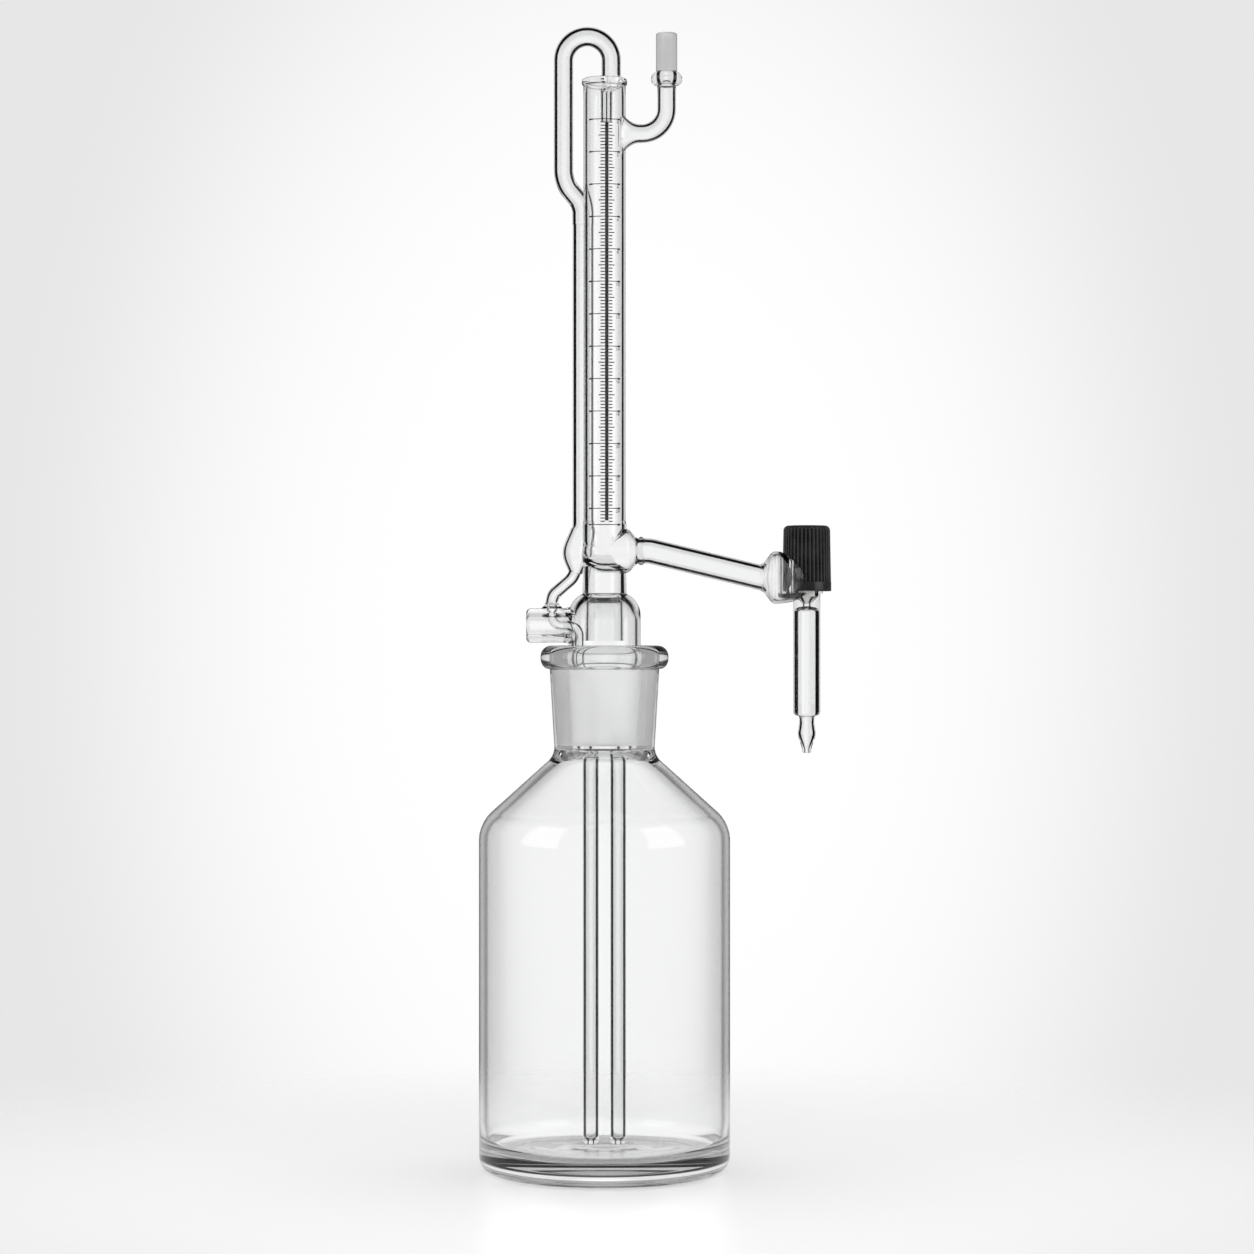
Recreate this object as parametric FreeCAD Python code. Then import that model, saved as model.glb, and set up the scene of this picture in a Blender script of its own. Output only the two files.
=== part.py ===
"""Automatic zero burette on its glass reservoir bottle, in millimetres.

Origin at the centre of the bottle's base, +Z up, +X towards the delivery arm and +Y away from the reader.
"""

import FreeCAD
import Part
import math
import os

V = FreeCAD.Vector
UP = V(0, 0, 1)

# An ellipse's two radii must differ, so where it is a circle they differ by this
ROUND_OFFSET = 1e-7

# Reservoir bottle
BOTTLE_RADIUS = 50.5
BOTTLE_WALL = 2.9
BASE_THICKNESS = 9.5
BASE_CORNER_RADIUS = 6.5
PUNT_RADIUS = 36.0
PUNT_DEPTH = 2.2
BODY_HEIGHT = 133.8
SHOULDER_RADIUS = 14.0
SHOULDER_SLOPE = math.radians(42.0)
SHOULDER_WALL = 3.3
NECK_FOOT_RADIUS = 20.0
NECK_TOP_RADIUS = 22.0
NECK_FILLET = 7.0
THROAT_FILLET = 3.0
FLANGE_RADIUS = 25.75
FLANGE_THICKNESS = 9.3

# Standard ground joint between the bottle and the burette, 29 mm across and 32 mm long, tapering 1 in 10
JOINT_TOP_RADIUS = 14.6
JOINT_LENGTH = 32.0
JOINT_TAPER = 0.1
JOINT_FOOT_Z = 171.5
JOINT_CLEARANCE = 0.03
LIP_DEPTH = 8.0
MOUTH_CLEARANCE = 0.5
MOUTH_ROUND = 1.5

# Burette foot: bell, stem and the two tubes that reach down into the bottle
BELL_RADIUS = 14.5
BELL_WALL = 2.0
BELL_SHOULDER_HEIGHT = 8.3
BELL_TOP_Z = 232.3
STEM_RADIUS = 8.0
STEM_COLLAR_RADIUS = 8.85
STEM_WALL = 1.4
STEM_FOOT_Z = 213.5
CONE_FLOOR = 2.0
DIP_TUBE_RADIUS = 3.25
DIP_TUBE_BORE = 2.0
DIP_TUBE_OFFSET = 5.5
DIP_TUBE_FOOT_Z = 10.6
DIP_TUBE_END_BORE = 0.9
DIP_TUBE_END_LENGTH = 3.5
DIP_TUBE_END_ROUND = 1.3
AIR_TUBE_STAND = 5.0
FILLING_TUBE_STAND = 1.0

# Junction chamber under the measuring tube
CHAMBER_Z = 249.6
CHAMBER_RADIUS = 9.0
CHAMBER_WALL = 1.6
CHAMBER_RIGHT_X = 8.0
CHAMBER_END_X = 14.7

# Measuring tube, 25 ml over the graduated length
TUBE_RADIUS = 8.5
TUBE_BORE = 7.0
TUBE_TOP_Z = 437.2
STRIPE_X = 1.0
STRIPE_WIDTH = 1.4
STRIPE_DEPTH = 0.4
STRIPE_FOOT_Z = 261.5
STRIPE_TOP_Z = 436.0
ZERO_MARK_Z = 422.4

# Closed top of the measuring tube
BEAD_RADIUS = 9.1
BEAD_HEIGHT = 2.6
BEAD_RIM_RADIUS = 7.7
DISC_THICKNESS = 1.6

# Overflow loop and the riser that feeds it
LOOP_TUBE_RADIUS = 3.9
LOOP_TUBE_BORE = 2.7
LOOP_BEND_RADIUS = 9.6
LOOP_LEG_X = 2.7
LOOP_CROWN_RISE = 19.4
LOOP_LEG_SINK = 0.9
LOOP_CROSSING_TOP_Z = 398.0
LOOP_CROSSING_FOOT_Z = 390.0
LOOP_CROSSING_RADIUS = 10.0
LOOP_FOOT_Z = 382.0
RISER_RADIUS = 3.75
RISER_BORE = 2.5
RISER_X = -9.2
RISER_Y = 8.6
ZERO_TIP_X = 0.8
ZERO_TIP_RADIUS = 2.4
ZERO_TIP_BORE = 1.4
ZERO_TIP_SHOULDER = 2.2

# Riser bulb, link tube and hose port
BULB_X = -11.6
BULB_Y = 8.3
BULB_RADIUS = 5.4
BULB_WALL = 1.2
BULB_FOOT_Z = 241.0
BULB_WAIST_Z = 249.0
BULB_SHOULDER_Z = 253.4
BULB_SHOULDER_RADIUS = 5.05
BULB_TOP_Z = 259.6
LINK_RADIUS = 2.5
LINK_BORE = 1.5
LINK_BEND_RADIUS = 8.0
LINK_TOP_RUN = 1.0
LINK_DROP = 8.5
PORT_Z = 219.6
PORT_RADIUS = 7.0
PORT_BORE = 3.5
PORT_MOUTH_X = -31.5
PORT_LIP_ROUND = 2.0
PORT_BORE_ROUND = 1.2
PORT_LINK_X = -21.1
INNER_TUBE_RADIUS = 2.0
INNER_TUBE_BORE = 1.2
INNER_TUBE_X = -10.3
INNER_BEND_RADIUS = 4.0
INNER_CROSSING_TOP_Z = 204.0
INNER_CROSSING_FOOT_Z = 192.0
INNER_CROSSING_RADIUS = 10.0

# Vent arm and its ground joint for a guard tube
VENT_Z = 417.6
VENT_X = 25.0
VENT_RADIUS = 3.75
VENT_BORE = 2.55
VENT_BEND_RADIUS = 10.0
VENT_FLARE_START_X = 6.2
VENT_FLARE_END_X = 14.0
VENT_FLARE_HALF_HEIGHT = 9.2
VENT_FLARE_HALF_DEPTH = 5.6
GUARD_BEAD_RADIUS = 6.25
GUARD_BEAD_FOOT_Z = 436.8
GUARD_BEAD_HEIGHT = 5.4
GUARD_JOINT_RADIUS = 4.25
GUARD_JOINT_BORE = 2.75
GUARD_JOINT_LENGTH = 15.8

# Delivery arm
ARM_RADIUS = 5.05
ARM_BORE = 3.5
ARM_KNEE_X = 18.3
ARM_SLOPE = 0.24
ARM_BEND_RADIUS = 12.0
ARM_SOCKET = 1.3

# Valve body
VALVE_X = 81.4
VALVE_Z = 238.9
BARREL_START_X = 63.0
BARREL_FULL_X = 68.4
BARREL_END_X = 88.0
BARREL_SECTIONS = 4
BARREL_RADIUS = 10.5
BARREL_WELD_RADIUS = 5.5
BARREL_WALL = 1.6
BARREL_DEPTH_FACTOR = 1.2
POCKET_FLOOR_Z = 232.8
POCKET_WALL = 1.4
NECK_RADIUS = 6.4
NECK_BORE = 3.0
NECK_TOP_Z = 251.5
DUCT_RADIUS = 1.3
DUCT_Z = 231.2

# Outlet tube and jet
OUTLET_RADIUS = 5.45
OUTLET_BORE = 3.5
OUTLET_FOOT_Z = 183.3
OUTLET_ROUND = 2.2
SEAT_CHAMBER_RADIUS = 3.2
SEAT_HOLE_RADIUS = 1.0
SEAT_FLOOR_Z = 227.2
JET_NECK_RADIUS = 3.15
JET_WAIST_RADIUS = 3.0
JET_SWELL_RADIUS = 3.6
JET_END_RADIUS = 1.8
JET_NECK_BORE = 2.2
JET_HOLE = 0.5
JET_WAIST_DROP = 3.3
JET_SWELL_DROP = 7.6
JET_TAPER_DROP = 13.3
JET_LENGTH = 14.9

# Needle
SPINDLE_CLEARANCE = 0.06
NEEDLE_TIP_RADIUS = 0.8
NEEDLE_TIP_Z = 228.2
NEEDLE_CONE_HEIGHT = 2.8
NEEDLE_SEAT_CLEARANCE = 0.04
HEAD_RADIUS = 5.8
HEAD_THICKNESS = 2.1
HEAD_FOOT_Z = 253.1
O_RING_HEIGHTS = (238.0, 246.0)
O_RING_GROOVE_RADIUS = 1.9
O_RING_GROOVE_WIDTH = 1.3

# Knob
KNOB_FOOT_Z = 233.4
KNOB_TOP_Z = 259.8
KNOB_BAND_RADIUS = 9.85
KNOB_BAND_HEIGHT = 3.8
KNOB_RIB_FOOT_RADIUS = 9.75
KNOB_RIB_TOP_RADIUS = 9.35
KNOB_TOP_ROUND = 2.0
KNOB_RIBS = 36
KNOB_GROOVE_RADIUS = 0.5
KNOB_GROOVE_DEPTH = 0.42
KNOB_POCKET_GAP = 0.6
THREAD_CLEARANCE = 0.08
HEAD_CHAMBER_RADIUS = 7.0
WASHER_THICKNESS = 0.7
WASHER_HOLE = 2.0
RING_GROOVE_RADIUS = 7.6
RING_RADIUS = 7.5
RING_HOLE = 5.0
RING_THICKNESS = 0.6
RING_GAP_DEGREES = 40.0
STACK_CLEARANCE = 0.05

# Sizes that follow from the ones above
JOINT_FOOT_RADIUS = JOINT_TOP_RADIUS - JOINT_TAPER * JOINT_LENGTH / 2
JOINT_TOP_Z = JOINT_FOOT_Z + JOINT_LENGTH
MOUTH_Z = JOINT_TOP_Z + LIP_DEPTH
CONE_FOOT_Z = JOINT_FOOT_Z - CONE_FLOOR
LOOP_FAR_X = LOOP_LEG_X - 2 * LOOP_BEND_RADIUS
LOOP_CROWN_Z = TUBE_TOP_Z + LOOP_CROWN_RISE
LOOP_LEG_FOOT_Z = TUBE_TOP_Z - LOOP_LEG_SINK
GUARD_JOINT_TOP_Z = GUARD_BEAD_FOOT_Z + GUARD_BEAD_HEIGHT + GUARD_JOINT_LENGTH
ARM_END_X = BARREL_START_X + ARM_SOCKET
HEAD_TOP_Z = HEAD_FOOT_Z + HEAD_THICKNESS
CEILING_Z = HEAD_TOP_Z + STACK_CLEARANCE + WASHER_THICKNESS
SPINDLE_RADIUS = NECK_BORE - SPINDLE_CLEARANCE
POCKET_RADIUS = KNOB_BAND_RADIUS + KNOB_POCKET_GAP


class Profile:
    """A closed outline in radius and height that is turned about the Z axis."""

    def __init__(self, radius, height):
        """Start the outline at a point."""
        self.start = V(radius, 0, height)
        self.at = self.start
        self.edges = []

    def line(self, radius, height):
        """Draw a straight edge to a point."""
        end = V(radius, 0, height)
        if (end - self.at).Length > 1e-6:
            self.edges.append(Part.makeLine(self.at, end))
        self.at = end
        return self

    def arc(self, middle, end):
        """Draw a circular arc through a middle point, both as radius and height pairs."""
        stop = V(end[0], 0, end[1])
        self.edges.append(Part.Arc(self.at, V(middle[0], 0, middle[1]), stop).toShape())
        self.at = stop
        return self

    def cap(self, radius, height):
        """Draw an arc, with its centre on the axis, from here on the axis to a point."""
        rise = height - self.at.z
        bend = (radius * radius + rise * rise) / (2 * rise)
        turn = math.asin(radius / abs(bend)) / 2
        middle = (abs(bend) * math.sin(turn), self.at.z + bend * (1 - math.cos(turn)))
        return self.arc(middle, (radius, height))

    def round(self, corner, end, radius):
        """Run straight towards a corner, turn it with a fillet of a radius and run on straight to an end."""
        corner_point = V(corner[0], 0, corner[1])
        end_point = V(end[0], 0, end[1])
        fillet = corner_arc(self.at, corner_point, end_point, radius)
        for edge in (
            straight(self.at, fillet[0]),
            Part.Arc(*fillet).toShape(),
            straight(fillet[2], end_point),
        ):
            if edge is not None:
                self.edges.append(edge)
        self.at = end_point
        return self

    def spline(self, *points):
        """Draw a smooth curve through points given as radius and height pairs."""
        curve = Part.BSplineCurve()
        curve.interpolate([self.at] + [V(r, 0, z) for r, z in points])
        self.edges.append(curve.toShape())
        self.at = V(points[-1][0], 0, points[-1][1])
        return self

    def solid(self, angle=360.0):
        """Close the outline and turn it about the Z axis."""
        self.line(self.start.x, self.start.z)
        wire = Part.Wire(Part.__sortEdges__(self.edges))
        return Part.Face(wire).revolve(V(0, 0, 0), UP, angle)


def straight(start, end):
    """A straight edge, or None where the two points are one."""
    return Part.makeLine(start, end) if (end - start).Length > 1e-6 else None


def corner_arc(before, corner, after, radius):
    """Start, middle and end of the fillet at a corner between two straight runs."""
    come = (corner - before).normalize()
    leave = (after - corner).normalize()
    turn = come.getAngle(leave)
    tangent = radius * math.tan(turn / 2)
    start = corner - come * tangent
    end = corner + leave * tangent
    inward = (leave - come).normalize()
    middle = corner + inward * (radius / math.cos(turn / 2) - radius)
    return start, middle, end


def rod(points, bend_radii, radius):
    """A round bar along straight runs joined by arcs."""
    edges = []
    at = points[0]
    for index, bend in enumerate(bend_radii):
        start, middle, end = corner_arc(points[index], points[index + 1], points[index + 2], bend)
        edges.append(straight(at, start))
        edges.append(Part.Arc(start, middle, end).toShape())
        at = end
    edges.append(straight(at, points[-1]))
    path = Part.Wire([edge for edge in edges if edge is not None])
    section = Part.Wire(Part.makeCircle(radius, points[0], points[1] - points[0]))
    return path.makePipeShell([section], True, False)


def tube(points, bend_radii, radius, bore):
    """A round tube along straight runs joined by arcs."""
    return rod(points, bend_radii, radius).cut(rod(points, bend_radii, bore))


def post(radius, foot, top, x=0.0, y=0.0):
    """An upright cylinder between two heights."""
    return Part.makeCylinder(radius, top - foot, V(x, y, foot))


def bar(radius, start_x, end_x, z):
    """A cylinder along X between two places."""
    return Part.makeCylinder(radius, end_x - start_x, V(start_x, 0, z), V(1, 0, 0))


def lay_down(solid, z):
    """Turn a solid that was made about the Z axis to lie along X at a height."""
    solid.rotate(V(0, 0, 0), V(0, 1, 0), 90)
    solid.translate(V(0, 0, z))
    return solid


def oval(x, half_height, half_depth, z):
    """An upright elliptical outline across the X axis."""
    centre = V(x, 0, z)
    if half_height > half_depth:
        curve = Part.Ellipse(centre + V(0, 0, half_height), centre + V(0, half_depth, 0), centre)
    else:
        curve = Part.Ellipse(centre + V(0, half_depth, 0), centre - V(0, 0, half_height), centre)
    return Part.Wire(curve.toShape())


def reservoir_bottle():
    """Heavy-based bottle with a sloping shoulder, a ground neck and a thick rounded flange."""
    slope = math.pi / 2 - SHOULDER_SLOPE
    arc_x = BOTTLE_RADIUS - SHOULDER_RADIUS
    knee = (arc_x + SHOULDER_RADIUS * math.cos(slope), BODY_HEIGHT + SHOULDER_RADIUS * math.sin(slope))
    knee_middle = (
        arc_x + SHOULDER_RADIUS * math.cos(slope / 2),
        BODY_HEIGHT + SHOULDER_RADIUS * math.sin(slope / 2),
    )
    cone_top_z = knee[1] + (knee[0] - NECK_FOOT_RADIUS) * math.tan(SHOULDER_SLOPE)
    flange_foot_z = MOUTH_Z - FLANGE_THICKNESS
    flange_round = 0.46 * FLANGE_THICKNESS
    mouth_radius = JOINT_TOP_RADIUS + MOUTH_CLEARANCE

    outline = Profile(0, PUNT_DEPTH)
    outline.cap(PUNT_RADIUS, 0)
    outline.round((BOTTLE_RADIUS, 0), (BOTTLE_RADIUS, BODY_HEIGHT), BASE_CORNER_RADIUS)
    outline.arc(knee_middle, knee)
    outline.round((NECK_FOOT_RADIUS, cone_top_z), (NECK_TOP_RADIUS, flange_foot_z), NECK_FILLET)
    outline.line(FLANGE_RADIUS - flange_round, flange_foot_z)
    outline.arc(
        (FLANGE_RADIUS - flange_round * (1 - math.sqrt(0.5)), flange_foot_z + flange_round * (1 - math.sqrt(0.5))),
        (FLANGE_RADIUS, flange_foot_z + flange_round),
    )
    outline.line(FLANGE_RADIUS, MOUTH_Z - flange_round)
    outline.arc(
        (FLANGE_RADIUS - flange_round * (1 - math.sqrt(0.5)), MOUTH_Z - flange_round * (1 - math.sqrt(0.5))),
        (FLANGE_RADIUS - flange_round, MOUTH_Z),
    )
    outline.round((mouth_radius, MOUTH_Z), (mouth_radius, JOINT_TOP_Z), MOUTH_ROUND)
    outline.line(JOINT_TOP_RADIUS, JOINT_TOP_Z)
    outline.line(JOINT_FOOT_RADIUS, JOINT_FOOT_Z)

    inner_radius = BOTTLE_RADIUS - BOTTLE_WALL
    inner_arc = SHOULDER_RADIUS - BOTTLE_WALL
    inner_knee = (arc_x + inner_arc * math.cos(slope), BODY_HEIGHT + inner_arc * math.sin(slope))
    inner_middle = (arc_x + inner_arc * math.cos(slope / 2), BODY_HEIGHT + inner_arc * math.sin(slope / 2))
    throat_z = inner_knee[1] + (inner_knee[0] - JOINT_FOOT_RADIUS) * math.tan(SHOULDER_SLOPE)
    throat_z -= (SHOULDER_WALL - BOTTLE_WALL) / math.cos(SHOULDER_SLOPE)
    outline.round((JOINT_FOOT_RADIUS, throat_z), inner_knee, THROAT_FILLET)
    outline.arc(inner_middle, (inner_radius, BODY_HEIGHT))
    outline.round((inner_radius, BASE_THICKNESS), (0, BASE_THICKNESS), BASE_CORNER_RADIUS)
    return outline.solid()


def ground_cone():
    """Hollow ground cone that closes the bottle, with a floor that holds the two dip tubes."""
    top = JOINT_TOP_RADIUS - JOINT_CLEARANCE
    foot = JOINT_FOOT_RADIUS - JOINT_CLEARANCE
    outline = Profile(0, CONE_FOOT_Z)
    outline.round((foot, CONE_FOOT_Z), (foot, JOINT_FOOT_Z), CONE_FLOOR / 2)
    outline.line(top, JOINT_TOP_Z)
    outline.line(BELL_RADIUS - BELL_WALL, JOINT_TOP_Z)
    outline.round((foot - BELL_WALL, JOINT_FOOT_Z), (0, JOINT_FOOT_Z), BELL_WALL)
    cone = outline.solid()
    for x in (-DIP_TUBE_OFFSET, DIP_TUBE_OFFSET):
        cone = cone.cut(post(DIP_TUBE_RADIUS, CONE_FOOT_Z - 1, JOINT_FOOT_Z + 1, x))
    return cone


def bell_body(shrink=0.0):
    """The bell as a filled form, drawn in from its outside by an amount."""
    shoulder_z = BELL_TOP_Z - BELL_SHOULDER_HEIGHT
    radius = BELL_RADIUS - shrink
    top_radius = STEM_COLLAR_RADIUS - shrink
    span = radius - top_radius
    outline = Profile(0, JOINT_TOP_Z)
    outline.line(radius, JOINT_TOP_Z)
    outline.line(radius, shoulder_z - shrink)
    outline.arc(
        (radius - 0.29 * span, BELL_TOP_Z - shrink - 0.38 * BELL_SHOULDER_HEIGHT),
        (top_radius, BELL_TOP_Z - shrink),
    )
    outline.line(0, BELL_TOP_Z - shrink)
    return outline.solid()


def cone_bell():
    """Bell over the ground cone, fused round the stem at its top and open to the hose port at its side."""
    stem = post(STEM_RADIUS, JOINT_TOP_Z, BELL_TOP_Z + 1)
    port_way = bar(PORT_BORE, PORT_MOUTH_X, INNER_TUBE_X, PORT_Z)
    return bell_body().cut(bell_body(BELL_WALL)).cut(stem).cut(port_way)


def support_stem():
    """Stem that carries the junction chamber and hangs open inside the bell."""
    outline = Profile(STEM_RADIUS - STEM_WALL, STEM_FOOT_Z)
    outline.line(STEM_RADIUS, STEM_FOOT_Z)
    outline.line(STEM_RADIUS, BELL_TOP_Z)
    outline.line(STEM_COLLAR_RADIUS, BELL_TOP_Z)
    outline.line(STEM_COLLAR_RADIUS, CHAMBER_Z)
    outline.line(STEM_RADIUS - STEM_WALL, CHAMBER_Z)
    return outline.solid().cut(chamber_body())


def dip_tube(x, top_z):
    """Long tube down to the bottle's floor, with its end drawn in to a small hole."""
    neck_z = DIP_TUBE_FOOT_Z + DIP_TUBE_END_LENGTH
    outline = Profile(DIP_TUBE_END_BORE, DIP_TUBE_FOOT_Z)
    outline.round((DIP_TUBE_RADIUS, DIP_TUBE_FOOT_Z), (DIP_TUBE_RADIUS, top_z), DIP_TUBE_END_ROUND)
    outline.line(DIP_TUBE_BORE, top_z)
    outline.line(DIP_TUBE_BORE, neck_z)
    outline.line(DIP_TUBE_END_BORE, DIP_TUBE_FOOT_Z + DIP_TUBE_END_LENGTH / 2)
    solid = outline.solid()
    solid.translate(V(x, 0, 0))
    return solid


def filling_dip_tube():
    """Dip tube that liquid rises through."""
    return dip_tube(-DIP_TUBE_OFFSET, JOINT_FOOT_Z + FILLING_TUBE_STAND)


def air_dip_tube():
    """Dip tube that is open to the inside of the cone."""
    return dip_tube(DIP_TUBE_OFFSET, JOINT_FOOT_Z + AIR_TUBE_STAND)


def port_body():
    """The hose port as a filled form, from its mouth into the bell."""
    outline = Profile(0, PORT_MOUTH_X)
    outline.round((PORT_RADIUS, PORT_MOUTH_X), (PORT_RADIUS, INNER_TUBE_X), PORT_LIP_ROUND)
    outline.line(0, INNER_TUBE_X)
    return lay_down(outline.solid(), PORT_Z)


def port_bore():
    """The hose port's bore, with its mouth rounded open."""
    flare = PORT_BORE + PORT_BORE_ROUND
    slant = PORT_BORE_ROUND * (1 - math.sqrt(0.5))
    outline = Profile(0, PORT_MOUTH_X - 1)
    outline.line(flare, PORT_MOUTH_X - 1)
    outline.line(flare, PORT_MOUTH_X)
    outline.arc((PORT_BORE + slant, PORT_MOUTH_X + slant), (PORT_BORE, PORT_MOUTH_X + PORT_BORE_ROUND))
    outline.line(PORT_BORE, INNER_TUBE_X)
    outline.line(0, INNER_TUBE_X)
    return lay_down(outline.solid(), PORT_Z)


def inner_tube_rod(radius):
    """A bar along the inner filling tube's route, from the dip tube's top to the link tube's foot."""
    points = [
        V(PORT_LINK_X, 0, PORT_Z + PORT_RADIUS),
        V(PORT_LINK_X, 0, PORT_Z),
        V(INNER_TUBE_X, 0, PORT_Z),
        V(INNER_TUBE_X, 0, INNER_CROSSING_TOP_Z),
        V(-DIP_TUBE_OFFSET, 0, INNER_CROSSING_FOOT_Z),
        V(-DIP_TUBE_OFFSET, 0, JOINT_FOOT_Z + FILLING_TUBE_STAND),
    ]
    bends = [INNER_BEND_RADIUS, INNER_BEND_RADIUS, INNER_CROSSING_RADIUS, INNER_CROSSING_RADIUS]
    return rod(points, bends, radius)


def hose_port():
    """Thick-walled port for the hand pump's hose, fused to the bell."""
    return port_body().cut(port_bore()).cut(bell_body()).cut(inner_tube_rod(INNER_TUBE_RADIUS))


def inner_filling_tube():
    """Thin tube that carries liquid through the port and the bell, from the dip tube to the link tube."""
    return inner_tube_rod(INNER_TUBE_RADIUS).cut(inner_tube_rod(INNER_TUBE_BORE))


def link_points():
    """Route of the link tube from inside the bulb's foot to the top of the hose port."""
    top_z = BULB_FOOT_Z - LINK_TOP_RUN
    return [
        V(BULB_X, BULB_Y, BULB_WAIST_Z),
        V(BULB_X, BULB_Y, top_z),
        V(PORT_LINK_X, 0, top_z - LINK_DROP),
        V(PORT_LINK_X, 0, PORT_Z + PORT_BORE),
    ]


def link_tube():
    """S-shaped tube from the riser bulb down to the hose port."""
    bends = [LINK_BEND_RADIUS, LINK_BEND_RADIUS]
    body = tube(link_points(), bends, LINK_RADIUS, LINK_BORE)
    return body.cut(bulb_body()).cut(port_body()).cut(inner_tube_rod(INNER_TUBE_RADIUS))


def bulb_shoulder(shrink):
    """Skewed shoulder that leads from the bulb over to the riser, whose axis is set in from the bulb's."""
    outlines = []
    for share, radius in ((0, BULB_SHOULDER_RADIUS), (0.5, 4.55), (1, RISER_RADIUS)):
        x = BULB_X + share * (RISER_X - BULB_X)
        y = BULB_Y + share * (RISER_Y - BULB_Y)
        z = BULB_SHOULDER_Z + share * (BULB_TOP_Z - BULB_SHOULDER_Z)
        outlines.append(Part.Wire(Part.makeCircle(radius - shrink, V(x, y, z))))
    return Part.makeLoft(outlines, True, False)


def bulb_body(shrink=0.0):
    """The riser bulb as a filled form, drawn in from its outside by an amount."""
    middle_low = (0.5 * (LINK_RADIUS + BULB_RADIUS) + 0.85, 0.56 * BULB_FOOT_Z + 0.44 * BULB_WAIST_Z)
    outline = Profile(0, BULB_FOOT_Z)
    outline.line(LINK_RADIUS - shrink, BULB_FOOT_Z)
    outline.spline(
        (middle_low[0] - shrink, middle_low[1]),
        (BULB_RADIUS - shrink, BULB_WAIST_Z),
        (BULB_SHOULDER_RADIUS - shrink, BULB_SHOULDER_Z),
    )
    outline.line(0, BULB_SHOULDER_Z)
    solid = outline.solid()
    solid.translate(V(BULB_X, BULB_Y, 0))
    return solid.fuse(bulb_shoulder(shrink))


def riser_bulb():
    """Small bulb at the foot of the riser, fused to the junction chamber's side."""
    return bulb_body().cut(bulb_body(BULB_WALL)).cut(chamber_body())


def riser_tube():
    """Straight tube that carries liquid up beside the measuring tube."""
    body = post(RISER_RADIUS, BULB_TOP_Z, LOOP_FOOT_Z, RISER_X, RISER_Y)
    return body.cut(post(RISER_BORE, BULB_TOP_Z, LOOP_FOOT_Z, RISER_X, RISER_Y))


def overflow_loop():
    """Loop that brings the riser over into the top of the measuring tube."""
    points = [
        V(LOOP_LEG_X, 0, LOOP_LEG_FOOT_Z),
        V(LOOP_LEG_X, 0, LOOP_CROWN_Z),
        V(LOOP_FAR_X, 0, LOOP_CROWN_Z),
        V(LOOP_FAR_X, 0, LOOP_CROSSING_TOP_Z),
        V(RISER_X, RISER_Y, LOOP_CROSSING_FOOT_Z),
        V(RISER_X, RISER_Y, LOOP_FOOT_Z),
    ]
    bends = [LOOP_BEND_RADIUS, LOOP_BEND_RADIUS, LOOP_CROSSING_RADIUS, LOOP_CROSSING_RADIUS]
    return tube(points, bends, LOOP_TUBE_RADIUS, LOOP_TUBE_BORE)


def tip_form(leg_radius, radius):
    """The zero tip as a filled form, which steps across from the loop's leg to its own straight run."""
    shoulder_z = LOOP_LEG_FOOT_Z - ZERO_TIP_SHOULDER
    wide = Part.Wire(Part.makeCircle(leg_radius, V(LOOP_LEG_X, 0, LOOP_LEG_FOOT_Z)))
    narrow = Part.Wire(Part.makeCircle(radius, V(ZERO_TIP_X, 0, shoulder_z)))
    shoulder = Part.makeLoft([wide, narrow], True, True)
    return shoulder.fuse(post(radius, ZERO_MARK_Z, shoulder_z, ZERO_TIP_X))


def zero_tip():
    """Narrow tip whose end sets the zero, set over from the loop's leg to the measuring tube's middle."""
    outside = tip_form(LOOP_TUBE_RADIUS, ZERO_TIP_RADIUS)
    return outside.cut(tip_form(LOOP_TUBE_BORE, ZERO_TIP_BORE)).removeSplitter()


def tube_top_seal():
    """Beaded disc that closes the measuring tube round the loop's leg."""
    middle_z = TUBE_TOP_Z + BEAD_HEIGHT / 2
    disc_foot = middle_z - DISC_THICKNESS / 2
    disc_top = middle_z + DISC_THICKNESS / 2
    outline = Profile(0, disc_foot)
    outline.line(TUBE_BORE, TUBE_TOP_Z)
    outline.line(TUBE_RADIUS, TUBE_TOP_Z)
    outline.arc((BEAD_RADIUS, middle_z), (TUBE_RADIUS, TUBE_TOP_Z + BEAD_HEIGHT))
    outline.line(BEAD_RIM_RADIUS, TUBE_TOP_Z + BEAD_HEIGHT)
    outline.line(BEAD_RIM_RADIUS - DISC_THICKNESS / 2, disc_top)
    outline.line(0, disc_top)
    leg = post(LOOP_TUBE_RADIUS, TUBE_TOP_Z - 1, disc_top + BEAD_HEIGHT, LOOP_LEG_X)
    return outline.solid().cut(leg)


def chamber_body(shrink=0.0):
    """The junction chamber as a filled form along X, drawn in from its outside by an amount."""
    radius = CHAMBER_RADIUS - shrink
    end_radius = ARM_BORE if shrink else ARM_RADIUS
    lean = 0.45 * (CHAMBER_END_X - CHAMBER_RIGHT_X)
    outline = Profile(0, -radius)
    outline.cap(radius, 0)
    outline.line(radius, CHAMBER_RIGHT_X)
    outline.spline(
        (0.62 * radius + 0.38 * end_radius, CHAMBER_RIGHT_X + lean),
        (end_radius, CHAMBER_END_X),
    )
    outline.line(0, CHAMBER_END_X)
    return lay_down(outline.solid(), CHAMBER_Z)


def junction_chamber():
    """Chamber that joins the measuring tube to the delivery arm."""
    way_down = post(TUBE_BORE, CHAMBER_Z, CHAMBER_Z + 2 * CHAMBER_RADIUS)
    return chamber_body().cut(chamber_body(CHAMBER_WALL)).cut(way_down)


def tube_body():
    """The measuring tube as a filled form, from inside the junction chamber to its top."""
    return post(TUBE_RADIUS, CHAMBER_Z, TUBE_TOP_Z)


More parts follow.
